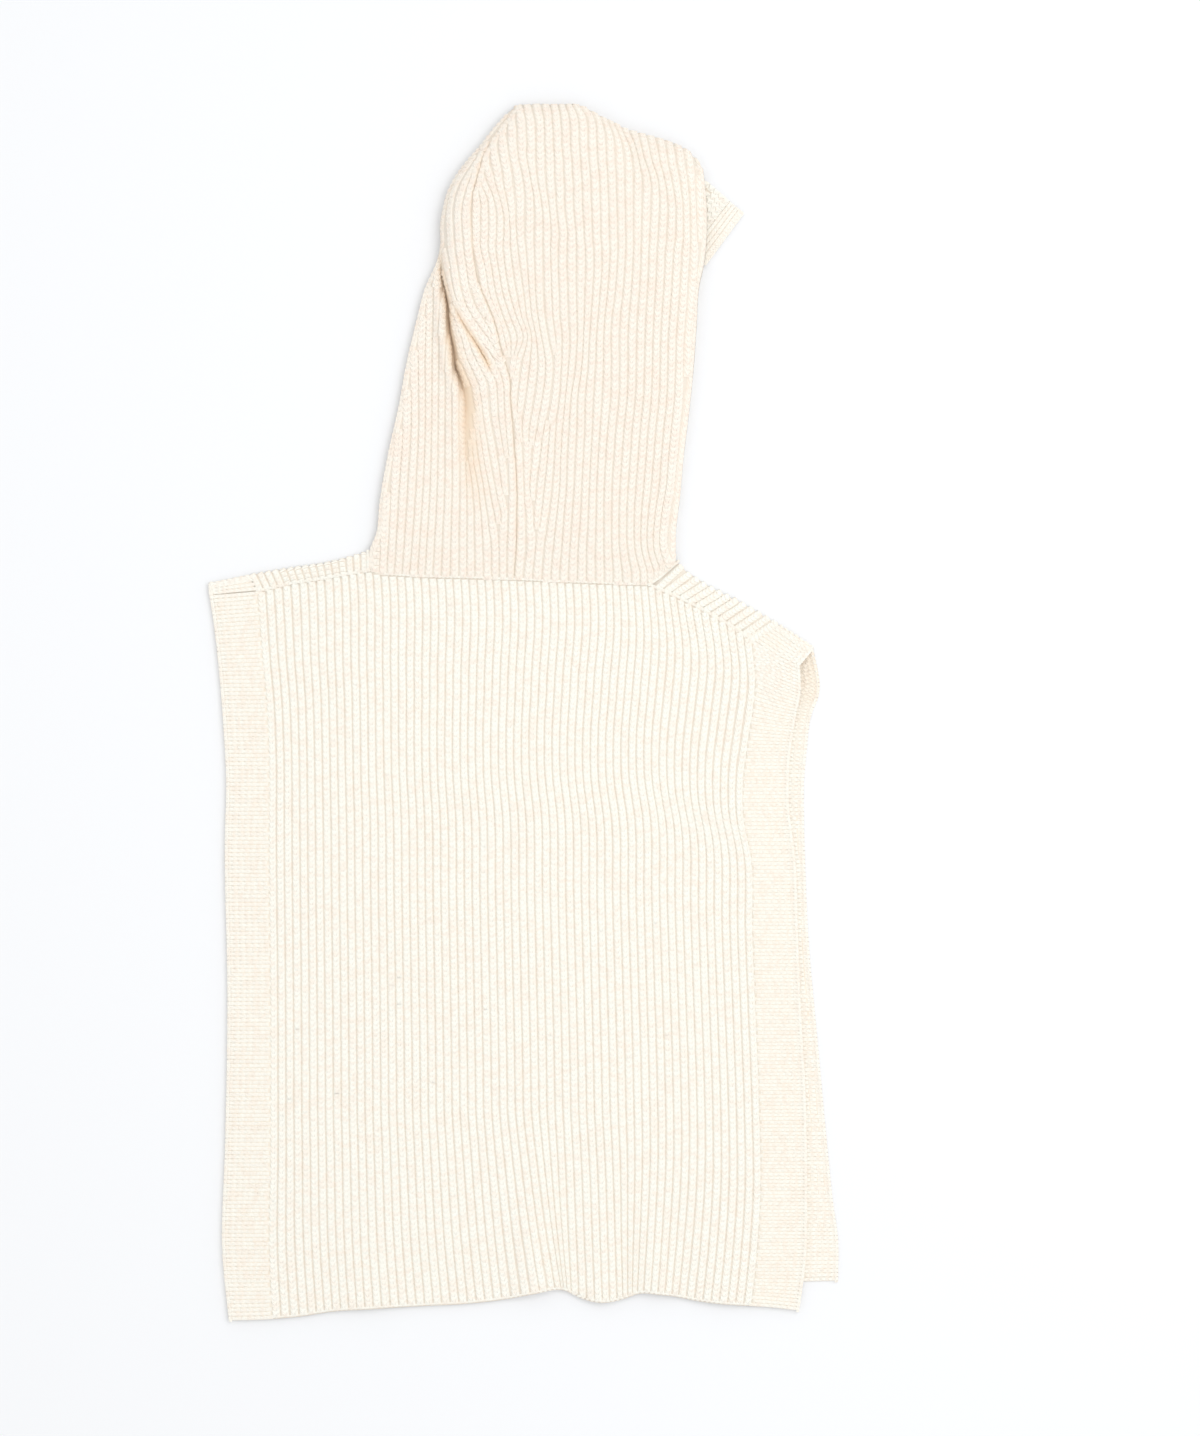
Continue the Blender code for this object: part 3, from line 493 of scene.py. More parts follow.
# Plan of the back, whose ribs lean near the hem and the neck
def backPlace(s, t):
    x, y = backPlan(s, t)
    hemStart, hemDepth = backPanel["hemReach"]
    neckStart, neckDepth = backPanel["neckReach"]
    low = np.clip((hemStart - y) / hemDepth, 0, 1.15) ** 1.3
    leaning = (x + straight(backPanel["hemLean"], x) * low
               + straight(backPanel["neckLean"], x) * ease((y - neckStart) / neckDepth))
    y = (y + (spline(hem, leaning) - spline(hem, x)) * (1 - t)
         + (straight(shoulders, leaning) - straight(shoulders, x)) * t)
    return leaning, y


def makeBackPanel():
    count = backPanel["ribs"]
    cloth = clothOver("back_panel_cloth", backPlace, bodyHeight, np.linspace(0, 1, 2 * count + 1), 90,
                      backPanel["wall"], groundKnitPaintedShade)
    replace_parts(cloth, "back_panel")
    lines = []
    t = np.linspace(0, 1, 150)
    for k in range(count):
        (xLeft, _), (x, y), (xRight, _) = [backPlace(np.full_like(t, (k + share) / count), t)
                                           for share in (0, 0.5, 1)]
        keep = ((y < straight(shoulders, x) - backPanel["seamGap"])
                & (y > spline(hem, x) + backPanel["hemGap"]))
        lines.append(ribLine(bodyHeight, x[keep], y[keep], (xRight - xLeft)[keep], backPanel["relief"]))
    third = math.ceil(count / 3)
    pieces = [knitRibs(f"back_ribs_{part + 1}", lines[part * third:(part + 1) * third],
                       backPanel["course"], ribYarn, seed=11 + part) for part in range(3)]
    return cloth, pieces


backCloth, backRibs = makeBackPanel()

# Armhole bands
bands = {
    "rib": 3.1, "course": 4.2, "relief": 0.72, "wall": 1.4, "lift": 0.25, "under": 0.04,
    "backLength": 545.0, "frontLength": 470.0, "frontWidth": 32.0, "frontRelief": 0.62, "edgeDrop": 1.2,
    "ribSpan": (0.02, 0.93),      # shares of the width where the crosswise ribs start and end
    "edgeWidth": 3.0, "edgeCourse": 4.0, "edgeRelief": 0.85, "edgeSpan": (0.002, 0.998),
    "tiltLow": 0.06, "tiltHigh": 0.16,       # shares of the length over which the ends tilt
    "stagger": 0.09, "staggerStep": 0.618,      # share of the width by which the ribs' starts differ
    "hidden": 5.0,       # how far the front's ribs go on under the back's edge
    "innerPaintedWarmShade": [(-40, 0), (-5, 0.06), (12, 0.2), (40, 0.34)],    # painted warm shade on the inside of the front's band, by y
}


# Plan of a band whose crosswise ribs lie level, and tilt only near its two ends
def levelPlan(left, right, bottom, top):
    place = ruled(left, right, bottom, top)

    def level(s, t):
        x, y = place(s, t)
        middle, _ = place(0.5, t)
        low, high = ease(1 - t / bands["tiltLow"]), ease((t - 1) / bands["tiltHigh"] + 1)
        flat = mix(float(bottom(middle)), float(top(middle)), t)
        y = flat + (bottom(x) - bottom(middle)) * low + (top(x) - top(middle)) * high
        return mix(left(y), right(y), s), y

    return level


# Ribs that run across a strip, from its seam to its outer edge
def crosswiseRibs(place, height, count, relief, least=None):
    lines = []
    first, last = bands["ribSpan"]
    for k in range(count):
        s = np.linspace(first + bands["stagger"] * (k * bands["staggerStep"] % 1), last, 16)
        x, y = place(s, (k + 0.5) / count)
        _, yLow = place(s, k / count)
        _, yHigh = place(s, (k + 1) / count)
        keep = np.full(len(s), True) if least is None else x > least(y)
        if keep.sum() > 3:
            lines.append(ribLine(height, x[keep], y[keep], (yHigh - yLow)[keep], relief))
    return lines


# A chain of stitches along an edge, leaning outwards by a share
def edgeChain(points, outward, width, relief, lean=0.6):
    points = np.array(points, float)
    outward = np.broadcast_to(np.array(outward, float), (len(points), 2))
    return points, unit(raised(outward * lean, 1.0)), width, relief


# The chained outer edge of a band, at a share of its width
def bandEdge(name, place, share, count, height, outward, relief, seed):
    x, y = np.array([place(share, t) for t in np.linspace(*bands["edgeSpan"], count)]).T
    chain = edgeChain(np.stack([x, y, height(x, y)], 1), (outward, 0), bands["edgeWidth"], relief)
    return knitRibs(name + "_edge", [chain], bands["edgeCourse"], bandYarn, seed)


def backBand(name, seam, edge, outward):
    place = levelPlan(lineOf(seam), lineOf(edge), lineOf(hem), lineOf(shoulders, shape=straight))

    def height(x, y):
        return bodyHeight(x, y) + bands["lift"]

    def turnedDown(x, y):
        return height(x, y) - bands["edgeDrop"] * (np.abs(x - x[-1 if outward > 0 else 0]) < 0.1)

    cloth = clothOver(name + "_cloth", place, turnedDown, np.linspace(-bands["under"], 1, 10)[::outward],
                      110, bands["wall"], bandGroundPaintedShade)
    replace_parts(cloth, name)
    count = round(bands["backLength"] / bands["rib"])
    ribs = knitRibs(name + "_ribs", crosswiseRibs(place, height, count, bands["relief"]),
                    bands["course"], bandYarn, seed=41 + outward)
    edges = bandEdge(name, place, 0.975, 200, lambda x, y: height(x, y) - 0.3, outward,
                     bands["edgeRelief"], 45 + outward)
    return cloth, ribs, edges


backBandLeft = backBand("back_band_left", leftSeam, leftEdge, -1)
backBandRight = backBand("back_band_right", rightSeam, rightEdge, 1)

# Front panel and its bands
front = {
    "top": 1.3, "wall": 1.3, "foldSteps": 7, "stripWall": 1.5,
    "leftTurn": (leftFold, (-210, -119.3), (-204, -119.3)),
    "rightTurn": (rightFold, (117.3, 195), (96.4, 174)),
    "leftBandTurn": (leftFold, (-210.3, -240), (-204.3, -240)),
    "rightBandTurn": (rightFold, (195.3, 221), (174.3, 210)),
    "leftRibs": (16, 0.0), "rightRibs": (13, 3.4),      # how many, and how far they lean at the seam
    "relief": 1.1, "stripWidth": 0.9, "stripCourse": 2.9,
    "bandSpan": (-0.07, 0.95), "rimAt": 0.97,      # shares of a band turn's width: its ribs, its rim
}


# Points of the turn over a shoulder fold: shares across, then rows from the surface up and back
def foldRows(foldTable, foldSpan, seamSpan, across):
    foldX, seamX = mix(*foldSpan, across), mix(*seamSpan, across)
    fold = np.stack([foldX, straight(foldTable, foldX)], 1)
    seam = np.stack([seamX, straight(shoulders, seamX) + 0.3], 1)
    inward = (seam - fold) / np.hypot(*(seam - fold).T)[:, None]
    radius = bodyHeight(*fold.T) / 2
    rows, ups = [], []
    for angle in np.radians(np.linspace(-90, 90, front["foldSteps"])):
        plan = fold + inward * (radius * (1 - math.cos(angle)))[:, None]
        rows.append(np.stack([*plan.T, radius * (1 + math.sin(angle))], 1))
        ups.append(np.stack([*(-inward.T * math.cos(angle)), np.full(len(fold), math.sin(angle))], 1))
    for share in (0.34, 0.67, 1.0):
        plan = mix(rows[front["foldSteps"] - 1][:, :2], seam, share)
        rows.append(np.stack([*plan.T, bodyHeight(*plan.T)], 1))
        ups.append(upward(fold))
    return np.array(rows), np.array(ups)


def turnCloth(name, turn, across, wall, material):
    rows, _ = foldRows(*turn, np.linspace(1, 0, across))
    flip = 1 if rows[0, 0, 0] > rows[0, -1, 0] else -1
    return clothShell(name + "_cloth", [tuple(row[::flip].T) for row in rows], wall, material)


def shoulderStrip(name, turn, count, ribShift, seed):
    cloth = turnCloth(name, turn, 24, front["stripWall"], groundKnitPaintedShade)
    table, foldSpan, seamSpan = turn
    rows, ups = foldRows(table, foldSpan, np.array(seamSpan) + ribShift,
                         (np.arange(count) + 0.5) / count)
    length = np.hypot(*(rows[0, -1] - rows[0, 0])[:2]) / (count - 1)
    lines = [(rows[::-1, k], ups[::-1, k], length * front["stripWidth"], front["relief"])
             for k in range(count)]
    total = np.mean([np.linalg.norm(np.diff(line[0], axis=0), axis=1).sum() for line in lines])
    course = 0.985 * total / round(total / front["stripCourse"])      # whole courses, just inside
    return cloth, knitRibs(name + "_ribs", lines, course, ribYarn, seed=seed)


leftStrip = shoulderStrip("front_left_shoulder", front["leftTurn"], *front["leftRibs"], 51)
rightStrip = shoulderStrip("front_right_shoulder", front["rightTurn"], *front["rightRibs"], 52)


def bandTurn(name, turn, seed):
    cloth = turnCloth(name, turn, 6, bands["wall"], bandGroundPaintedShade)
    rows, ups = foldRows(*turn, np.linspace(*front["bandSpan"], 8))
    lines = [(mix(rows[k], rows[k + 1], 0.5), mix(ups[k], ups[k + 1], 0.5), bands["rib"],
              bands["relief"]) for k in (1, 3, 5)]
    last = front["foldSteps"] - 1
    count = max(2, round(np.hypot(*(rows[-1, 3] - rows[last, 3])[:2]) / bands["rib"]))
    for k in range(count):
        strip = mix(rows[last], rows[-1], (k + 0.5) / count)
        strip[:, 2] = bodyHeight(*strip[:, :2].T)
        lines.append((strip, ups[-1], bands["rib"], bands["relief"]))
    rim, rimUps = foldRows(*turn, np.array([front["rimAt"]]))
    lines.append((rim[::-1, 0], rimUps[::-1, 0], bands["edgeWidth"], bands["edgeRelief"]))
    return cloth, knitRibs(name + "_ribs", lines, bands["course"], bandYarn, seed=seed)


leftBandTurn = bandTurn("front_band_left_turn", front["leftBandTurn"], 53)
rightBandTurn = bandTurn("front_band_right_turn", front["rightBandTurn"], 54)


# Where the flat layer of the front ends: at the folds, and at the neckline between them
def frontTopLine():
    left, _ = foldRows(*front["leftTurn"], np.array([0.0, 0.5, 1.0]))
    right, _ = foldRows(*front["rightTurn"], np.array([0.0, 0.5, 1.0]))
    neck = [(x + 0.01 * k, y) for k, (x, y) in enumerate(frontNeck)]      # no two x are the same
    return [tuple(p[:2]) for p in left[0]] + neck + [tuple(p[:2]) for p in right[0]]


frontTop = frontTopLine()
frontPlace = ruled(lineOf(leftSeam), lineOf(frontRightEdge, -bands["frontWidth"]), lineOf(frontHem),
                   lineOf(frontTop, shape=straight))
frontCloth = clothOver("front_panel_cloth", frontPlace, levelAt(front["top"]), np.linspace(0, 1, 44), 60,
                       front["wall"], groundKnitPaintedShade)
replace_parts(frontCloth, "front_panel")


def frontBand(name, seam, edge, turn, outward, ribbed, seed):
    start, _ = foldRows(*turn, np.array([0.0, 1.0]))
    top = sorted(tuple(p[:2]) for p in start[0])
    place = levelPlan(seam, edge, lineOf(frontHem), lineOf(top, shape=straight))
    height = levelAt(front["top"])
    cloth = clothOver(name + "_cloth", place, height, np.linspace(0, 1, 7)[::outward], 60,
                      front["wall"], bandGroundPaintedShade)
    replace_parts(cloth, name)
    edges = bandEdge(name, place, 0.965, 160, levelAt(front["top"] - 0.2), outward,
                     bands["frontRelief"], seed)
    if not ribbed:
        return cloth, edges
    count = round(bands["frontLength"] / bands["rib"])
    lines = crosswiseRibs(place, height, count, bands["frontRelief"],
                          least=lambda y: spline(rightEdge, y) - bands["hidden"])
    ribs = knitRibs(name + "_ribs", lines, bands["course"], bandYarn, seed=seed + 1)
    # Painted warm shade on the front band's ribs, stronger towards the shoulder
    setAttribute(ribs.data, "paintedWarmShade", straight(bands["innerPaintedWarmShade"], planOf(ribs)[1]))
    return cloth, edges, ribs


frontBandLeft = frontBand("front_band_left", lineOf(leftSeam, -0.6), lineOf(leftEdge),
                          front["leftBandTurn"], -1, False, 55)
frontBandRight = frontBand("front_band_right", lineOf(frontRightEdge, 0.6 - bands["frontWidth"]),
                           lineOf(frontRightEdge), front["rightBandTurn"], 1, True, 57)

# Seams and cast-on edges
seams = {
    "width": 2.4, "course": 3.0, "relief": 0.62,
    # x from and to, steps, shift up the back and height over it: neck seam, then shoulder seams
    "runs": [(-119, 96, 120, 0.2, 0.0), (-203, -121, 60, 0.1, 0.3), (97.5, 173, 60, 0.1, 0.3)],
    "hoodEnds": [[(96.0, 98.3), (103, 103.0), (110, 109.0), (117.4, 115.5)],
                 [(-119.0, 109.5), (-119.2, 123.0)]],
    "hoodEndHeight": 4.5, "hoodEndRelief": 0.7,
    "hemSpan": (-192, 173), "hemWidth": 2.6, "hemRelief": 0.55, "hemCourse": 3.6,
}


def seamChains():
    lines = []
    for first, last, steps, shift, lift in seams["runs"]:
        x = np.linspace(first, last, steps)
        y = straight(shoulders, x) + shift
        points = np.stack([x, y, bodyHeight(x, y) + lift], 1)
        lines.append(edgeChain(points, (0, 0), seams["width"], seams["relief"]))
    for corners in seams["hoodEnds"]:
        points = raised(np.array(corners), seams["hoodEndHeight"])
        lines.append(edgeChain(points, (0, 0), seams["width"], seams["hoodEndRelief"]))
    return lines


neckSeam = knitRibs("shoulder_and_neck_seams", seamChains(), seams["course"], ribYarn, seed=61)


def hemChains():
    x = np.linspace(*seams["hemSpan"], 300)
    y = spline(hem, x) + 1.0
    return [edgeChain(np.stack([x, y, bodyHeight(x, y) - 0.3], 1), (0, -1), seams["hemWidth"],
                      seams["hemRelief"])]


hemEdge = knitRibs("back_hem_edge", hemChains(), seams["hemCourse"], ribYarn, seed=62)

# Hood
hood = {
    "rim": 4.5, "low": 9.0, "neckRamp": 38.0, "rimRamp": 22.0,
    "backLevel": 2.6, "neckHeight": 4.0, "rightDrop": 0.35, "wall": 1.5,
    "course": 4.2, "relief": 1.1, "creaseTop": 350.0,
    "middle": [(100, 4.5), (140, 9.5), (200, 12), (260, 17), (320, 24), (380, 27), (430, 25), (464, 24)],
    "creaseReach": [(100, 90), (180, 60), (225, 34), (255, 16), (290, 12), (345, 12), (464, 14)],
    "creaseDepth": [(100, 0), (165, 0), (195, 1.0), (215, 1.7), (240, 2.4), (254, 3.6), (300, 3.8),
                    (325, 3.0), (343, 1.2), (356, 0), (464, 0)],
    "creaseHalf": [(100, 4), (200, 3.0), (240, 2.4), (258, 2.4), (275, 2.1), (292, 1.5), (464, 1.5)],
    "sideDepth": [(250, 0), (262, 0.4), (270, 2.4), (280, 2.6), (290, 2.2), (305, 1.2), (316, 0)],
    "sideHalf": 2.4, "sideClear": 1.0,
    # Painted shade of the creases and the back seam, by y: dark deep in the crease, warm beside it, beside
    # the side crease and along the seam
    "shade": [(185, 0), (225, 0.1), (250, 0.25), (260, 0.55), (300, 0.6), (320, 0.35), (335, 0)],
    "shadeHalf": [(185, 0.8), (245, 1.0), (260, 1.8), (272, 1.4), (286, 0.9), (350, 0.7)],
    "paintedWarmShade": [(150, 0), (185, 0.3), (225, 0.6), (262, 0.7), (300, 0.7), (330, 0.55), (350, 0.2), (360, 0)],
    "paintedWarmShadeShift": [(150, 3.0), (245, 3.0), (262, 1.2), (280, 0)],
    "paintedWarmShadeHalf": [(150, 9), (220, 7), (262, 6), (292, 3.6), (350, 3.0)],
    "sidePaintedWarmShade": [(258, 0), (266, 0.75), (284, 0.7), (300, 0.45), (316, 0)], "sidePaintedWarmShadeHalf": 3.0,
    "seamPaintedWarmShade": 0.22, "seamPaintedWarmShadeHalf": 1.3,
    "lip": [(100, 0), (200, 0.4), (245, 3.8), (285, 5.0), (320, 4.6), (346, 1.5), (362, 0), (464, 0)],
    "lipPlace": 6.2, "lipHalf": 4.8,
    "seamDepth": 0.35, "seamHalf": 2.2, "seamRib": 2.55, "seamTuck": 2.2,
    "rimRib": 2.3, "rimWidth": 5.6, "rimClear": 4.4, "rimClearLow": 1.0, "rimSpans": [(112, 455), (104, 413)],
    "crowding": 2.4, "seamClear": 1.2, "neckClear": 0.9, "topClear": 0.5,
    "ribRange": (100.0, 464.0, 2.0), "ribWidths": (3.0, 8.4),
    "creaseFrom": 190, "foldBelow": -43.8, "sideSpan": (265, 308),      # the creases' reach in y, and x below
    "topFrom": 350, "topBlend": 12, "fanTop": 248, "fanBlend": 14,      # y where one chart takes over
    "leftClear": [(100, 0.5), (236, 0.2), (254, -1.4), (280, -1.4), (292, -0.8), (335, -0.6), (350, -0.3),
                  (464, 0.5)],
    "bulgeClear": [(100, 1.0), (195, 0.8), (225, 0.6), (240, 0.8), (255, 1.6), (274, 1.6), (288, 0.9),
                   (340, 0.7), (352, 1.0), (464, 1.0)],
    "folds": [(-45, 258, -40, 172, 9, -2.2), (74, 448, 98, 385, 9, -7.0), (-6, 150, -4, 240, 10, 1.5),
              (-62, 222, -60, 160, 4.5, -1.6), (-24, 225, -14, 150, 5, -1.2)],
}


def hoodOutline():
    left = [(spline(hoodLeftEdge, y), y) for y in np.arange(110, 456, 2)]
    top = [(x, spline(hoodTop, x)) for x in np.arange(-14, 137, 2)]
    right = [(spline(hoodRightEdge, y), y) for y in np.arange(415, 97, -2)]
    return np.array(left + top + right, float)


outline = hoodOutline()


def fromOutline(x, y):
    a, b = outline[:-1], outline[1:]
    step = b - a
    points = np.stack([x, y], -1)[..., None, :]
    share = np.clip(((points - a) * step).sum(-1) / (step ** 2).sum(-1), 0, 1)
    return np.hypot(*np.moveaxis(points - (a + share[..., None] * step), -1, 0)).min(-1)


def creaseAt(y):
    return np.where(y > hood["creaseTop"], spline(hoodLeftEdge, y), spline(creaseLine, y))


def hoodHeight(x, y):
    up = y - straight(shoulders, x)
    edge = fromOutline(x, y)
    beside = x - creaseAt(y)
    climb = np.sqrt(1 - (1 - np.clip(beside / straight(hood["creaseReach"], y), 0, 1)) ** 2)
    rightSide = 1 - hood["rightDrop"] * ease((x - 40) / 95)
    middle = hood["low"] + (spline(hood["middle"], y) - hood["low"]) * rightSide
    full = mix(hood["low"], np.maximum(middle, hood["low"]), climb)
    trough = straight(hood["creaseDepth"], y) * np.exp(-(beside / straight(hood["creaseHalf"], y)) ** 2)
    lip = straight(hood["lip"], y) * np.exp(-((beside + hood["lipPlace"]) / hood["lipHalf"]) ** 2)
    groove = hood["seamDepth"] * np.exp(-((x - spline(hoodSeam, y)) / hood["seamHalf"]) ** 2)
    side = straight(hood["sideDepth"], y) * np.exp(-((x - spline(sideCrease, y)) / hood["sideHalf"]) ** 2)
    full = full - trough + lip - groove - side + folds(hood["folds"], x, y)
    full = mix(hood["neckHeight"], full, ease(up / hood["neckRamp"]))
    rim = mix(hood["backLevel"], hood["rim"], ease(up / hood["rimRamp"]))
    rise = full - rim
    depth = np.clip(edge / (1.15 * rise + 3), 0, 1)
    return rim + rise * np.sqrt(1 - (1 - depth) ** 2)


# Valleys between the hood's ribs. Rows: y, then x of the valleys that the header numbers
lowerLeftRibs = [
    ("y", 0, 3, 6, 10),
    (107, -104.8, -87.2, -69.6, -43.1), (145, -102.5, -83.9, -67.3, -43.1),
    (171, -101.4, -82.2, -66.0, -43.1), (216, -98.4, -80.0, -65.4, -44.0),
    (284, -98.7, -80.5, -64.3, -43.6), (327, -97.2, -78.8, -63.1, -43.6),
]
bulgeRibs = [
    ("y", 0, 5, 8, 11),
    (107, -43.2, -12.2, 0.0, 19.1), (132, -43.2, -14.2, -7.7, 11.5),
    (154, -43.6, -16.8, -9.6, 9.9), (171, -43.9, -19.4, -8.9, 10.7),
    (184, -46.3, -22.2, -9.9, 9.6), (198, -51.6, -25.6, -10.9, 8.4),
    (216, -57.8, -29.8, -12.2, 7.3), (230, -61.2, -32.4, -13.8, 5.7),
    (247, -63.5, -34.0, -14.2, 5.4), (259, -68.1, -38.2, -18.0, 1.5),
    (272, -73.4, -44.0, -24.9, -5.4), (282, -76.5, -46.3, -32.1, -12.6),
    (293, -79.6, -49.0, -39.8, -20.3), (307, -85.7, -54.8, -48.6, -29.1),
    (316, -87.2, -59.7, -52.0, -32.5), (327, -87.2, -64.3, -54.3, -34.8),
    (339, -88.7, -68.8, -56.0, -36.5), (350, -90.3, -71.9, -57.8, -38.2),
    (362, -91.0, -75.7, -58.8, -39.2), (385, -91.0, -75.7, -58.8, -39.2),
    (396, -88.7, -73.4, -56.2, -36.7), (408, -83.4, -68.1, -50.8, -31.4),
    (419, -75.7, -60.4, -43.6, -24.1), (431, -66.6, -51.3, -34.4, -14.9),
    (446, -52.8, -37.5, -20.7, -1.5),
]
# Below the creases the same ribs fan out to the neck
fanRibs = [
    ("y", 0, 1, 2, 3, 4, 5, 6, 7, 8, 9),
    (106, -44.0, -37.5, -30.6, -24.9, -18.7, -17.3, -14.5, -13.8, -13.0, -7.3),
    (132, -43.6, -37.5, -31.4, -25.2, -19.1, -17.3, -14.5, -13.5, -12.6, -5.4),
    (142, -43.6, -37.5, -32.0, -26.5, -20.6, -17.3, -13.4, -12.6, -12.0, -5.4),
    (152, -43.6, -37.5, -32.5, -27.9, -22.2, -17.6, -11.8, -11.5, -11.5, -5.4),
    (161, -43.6, -38.2, -33.5, -29.3, -24.1, -19.4, -13.6, -12.2, -11.2, -5.5),
    (171, -43.6, -39.0, -34.4, -30.6, -26.0, -21.4, -16.1, -12.2, -9.9, -5.6),
    (190, -44.4, -41.3, -38.2, -33.7, -29.5, -25.6, -18.0, -14.0, -10.7, -6.2),
    (209, -45.1, -42.1, -39.8, -36.7, -32.1, -29.1, -21.4, -16.8, -12.6, -7.7),
    (224, -45.1, -43.5, -41.3, -38.2, -34.4, -31.4, -24.5, -19.0, -13.8, -9.0),
    (239, -45.1, -43.8, -41.9, -39.8, -37.0, -33.7, -25.6, -20.0, -14.5, -9.9),
    (251, -45.9, -44.5, -42.9, -41.0, -38.6, -35.9, -26.8, -20.7, -15.3, -9.9),
    (262, -48.2, -46.8, -45.2, -43.7, -42.0, -39.8, -29.1, -24.7, -19.9, -13.0),
]
# At the right of the seam's foot: the seam, four valleys, and valley 2 of the right side
neckFanRibs = [
    ("y", 0, 1, 2, 3, 4, 5),
    (106, -7.4, -0.4, 6.9, 6.9, 6.9, 13.8), (132, -5.4, 1.5, 9.9, 9.9, 9.9, 15.7),
    (142, -5.4, 1.5, 8.5, 8.6, 11.5, 17.2), (152, -5.4, 1.5, 7.7, 7.7, 13.8, 18.7),
    (161, -5.4, 1.3, 5.8, 8.4, 15.0, 19.9), (171, -5.6, 0.8, 4.6, 9.2, 16.1, 21.0),
    (190, -6.2, -0.2, 5.7, 12.2, 17.6, 23.0), (209, -7.7, -1.5, 8.0, 14.5, 19.1, 24.1),
    (225, -9.0, -3.1, 11.0, 17.0, 20.5, 24.9),
]
crownRibs = [
    ("y", 0, 4, 6, 8, 10, 12, 16),
    (175, -3.8, -2.3, 1.2, 6.1, 17.6, 27.5, 52.0), (194, -5.4, -3.8, 0.8, 7.3, 19.9, 29.1, 52.8),
    (216, -6.7, -12.2, -1.3, 9.8, 22.2, 29.8, 52.8), (239, -8.4, -10.7, 1.5, 14.5, 25.2, 32.1, 53.3),
    (268, -13.2, -6.1, 5.0, 16.8, 27.2, 37.5, 53.9), (285, -19.9, 0.0, 6.1, 13.4, 24.9, 36.3, 55.1),
    (301, -25.2, -5.4, 2.3, 10.7, 22.8, 35.2, 55.8), (316, -30.6, -9.9, 0.8, 9.2, 22.2, 34.6, 57.8),
    (335, -33.7, -13.4, -1.9, 8.8, 21.6, 34.4, 59.7), (355, -38.6, -15.3, -4.3, 8.4, 21.2, 33.9, 59.4),
    (390, -38.0, -15.3, -5.0, 7.7, 18.7, 31.8, 58.1), (415, -44.4, -19.1, -8.4, 5.0, 17.6, 31.2, 57.4),
    (440, -52.8, -26.0, -13.0, 2.3, 16.4, 29.5, 55.8), (460, -56.6, -29.8, -16.1, -1.5, 14.2, 26.8, 53.2),
]
rightRibs = [
    ("y", -1, 0, 1, 2, 3, 4, 6, 9, 13, 17, 20),
    (107, -6.1, -0.1, 7.8, 14.4, 20.5, 27.2, 40.8, 61.4, 89.0, 110.2, 127.0),
    (125, -4.8, 1.3, 7.7, 15.5, 22.4, 28.9, 41.3, 61.1, 84.9, 104.0, 122.4),
    (148, -3.6, 1.9, 8.4, 19.0, 24.9, 30.3, 43.1, 61.0, 84.2, 104.8, 122.4),
    (171, -3.6, 1.2, 9.6, 21.9, 27.2, 32.4, 44.2, 61.2, 85.3, 108.6, 126.2),
    (194, -4.6, 0.8, 13.8, 24.0, 27.8, 33.1, 45.4, 62.3, 87.2, 110.5, 129.3),
    (216, -6.7, -1.3, 16.4, 24.5, 29.5, 34.4, 46.5, 63.9, 88.7, 112.5, 131.6),
    (239, -8.4, 1.5, 20.7, 27.5, 31.7, 35.8, 46.7, 66.2, 91.0, 114.8, 133.5),
    (265, -11.9, 5.0, 22.9, 29.1, 34.0, 39.8, 49.0, 66.6, 92.0, 115.5, 134.6),
    (285, -19.9, 6.1, 24.5, 29.1, 35.2, 40.9, 50.1, 66.3, 92.3, 115.9, 135.4),
    (301, -25.2, 2.3, 22.2, 27.5, 34.4, 40.9, 51.3, 67.2, 92.9, 117.0, 136.9),
    (316, -30.6, 0.8, 21.4, 27.5, 33.7, 40.5, 52.4, 69.2, 93.7, 118.2, 138.1),
    (335, -33.7, -2.3, 20.7, 26.8, 32.9, 40.5, 53.6, 70.8, 94.7, 119.3, 139.2),
    (355, -39.0, -4.6, 19.9, 26.8, 32.9, 40.5, 53.2, 71.9, 95.2, 120.5, 140.0),
    (390, -38.2, -5.4, 18.4, 24.5, 30.6, 38.2, 51.3, 71.1, 97.2, 123.2, 143.1),
    (440, -52.8, -13.0, 16.1, 22.2, 28.3, 36.0, 49.3, 69.6, 96.4, 123.2, 143.8),
    (460, -56.6, -16.1, 13.8, 20.7, 26.8, 33.7, 46.7, 66.6, 93.3, 120.1, 140.0),
]


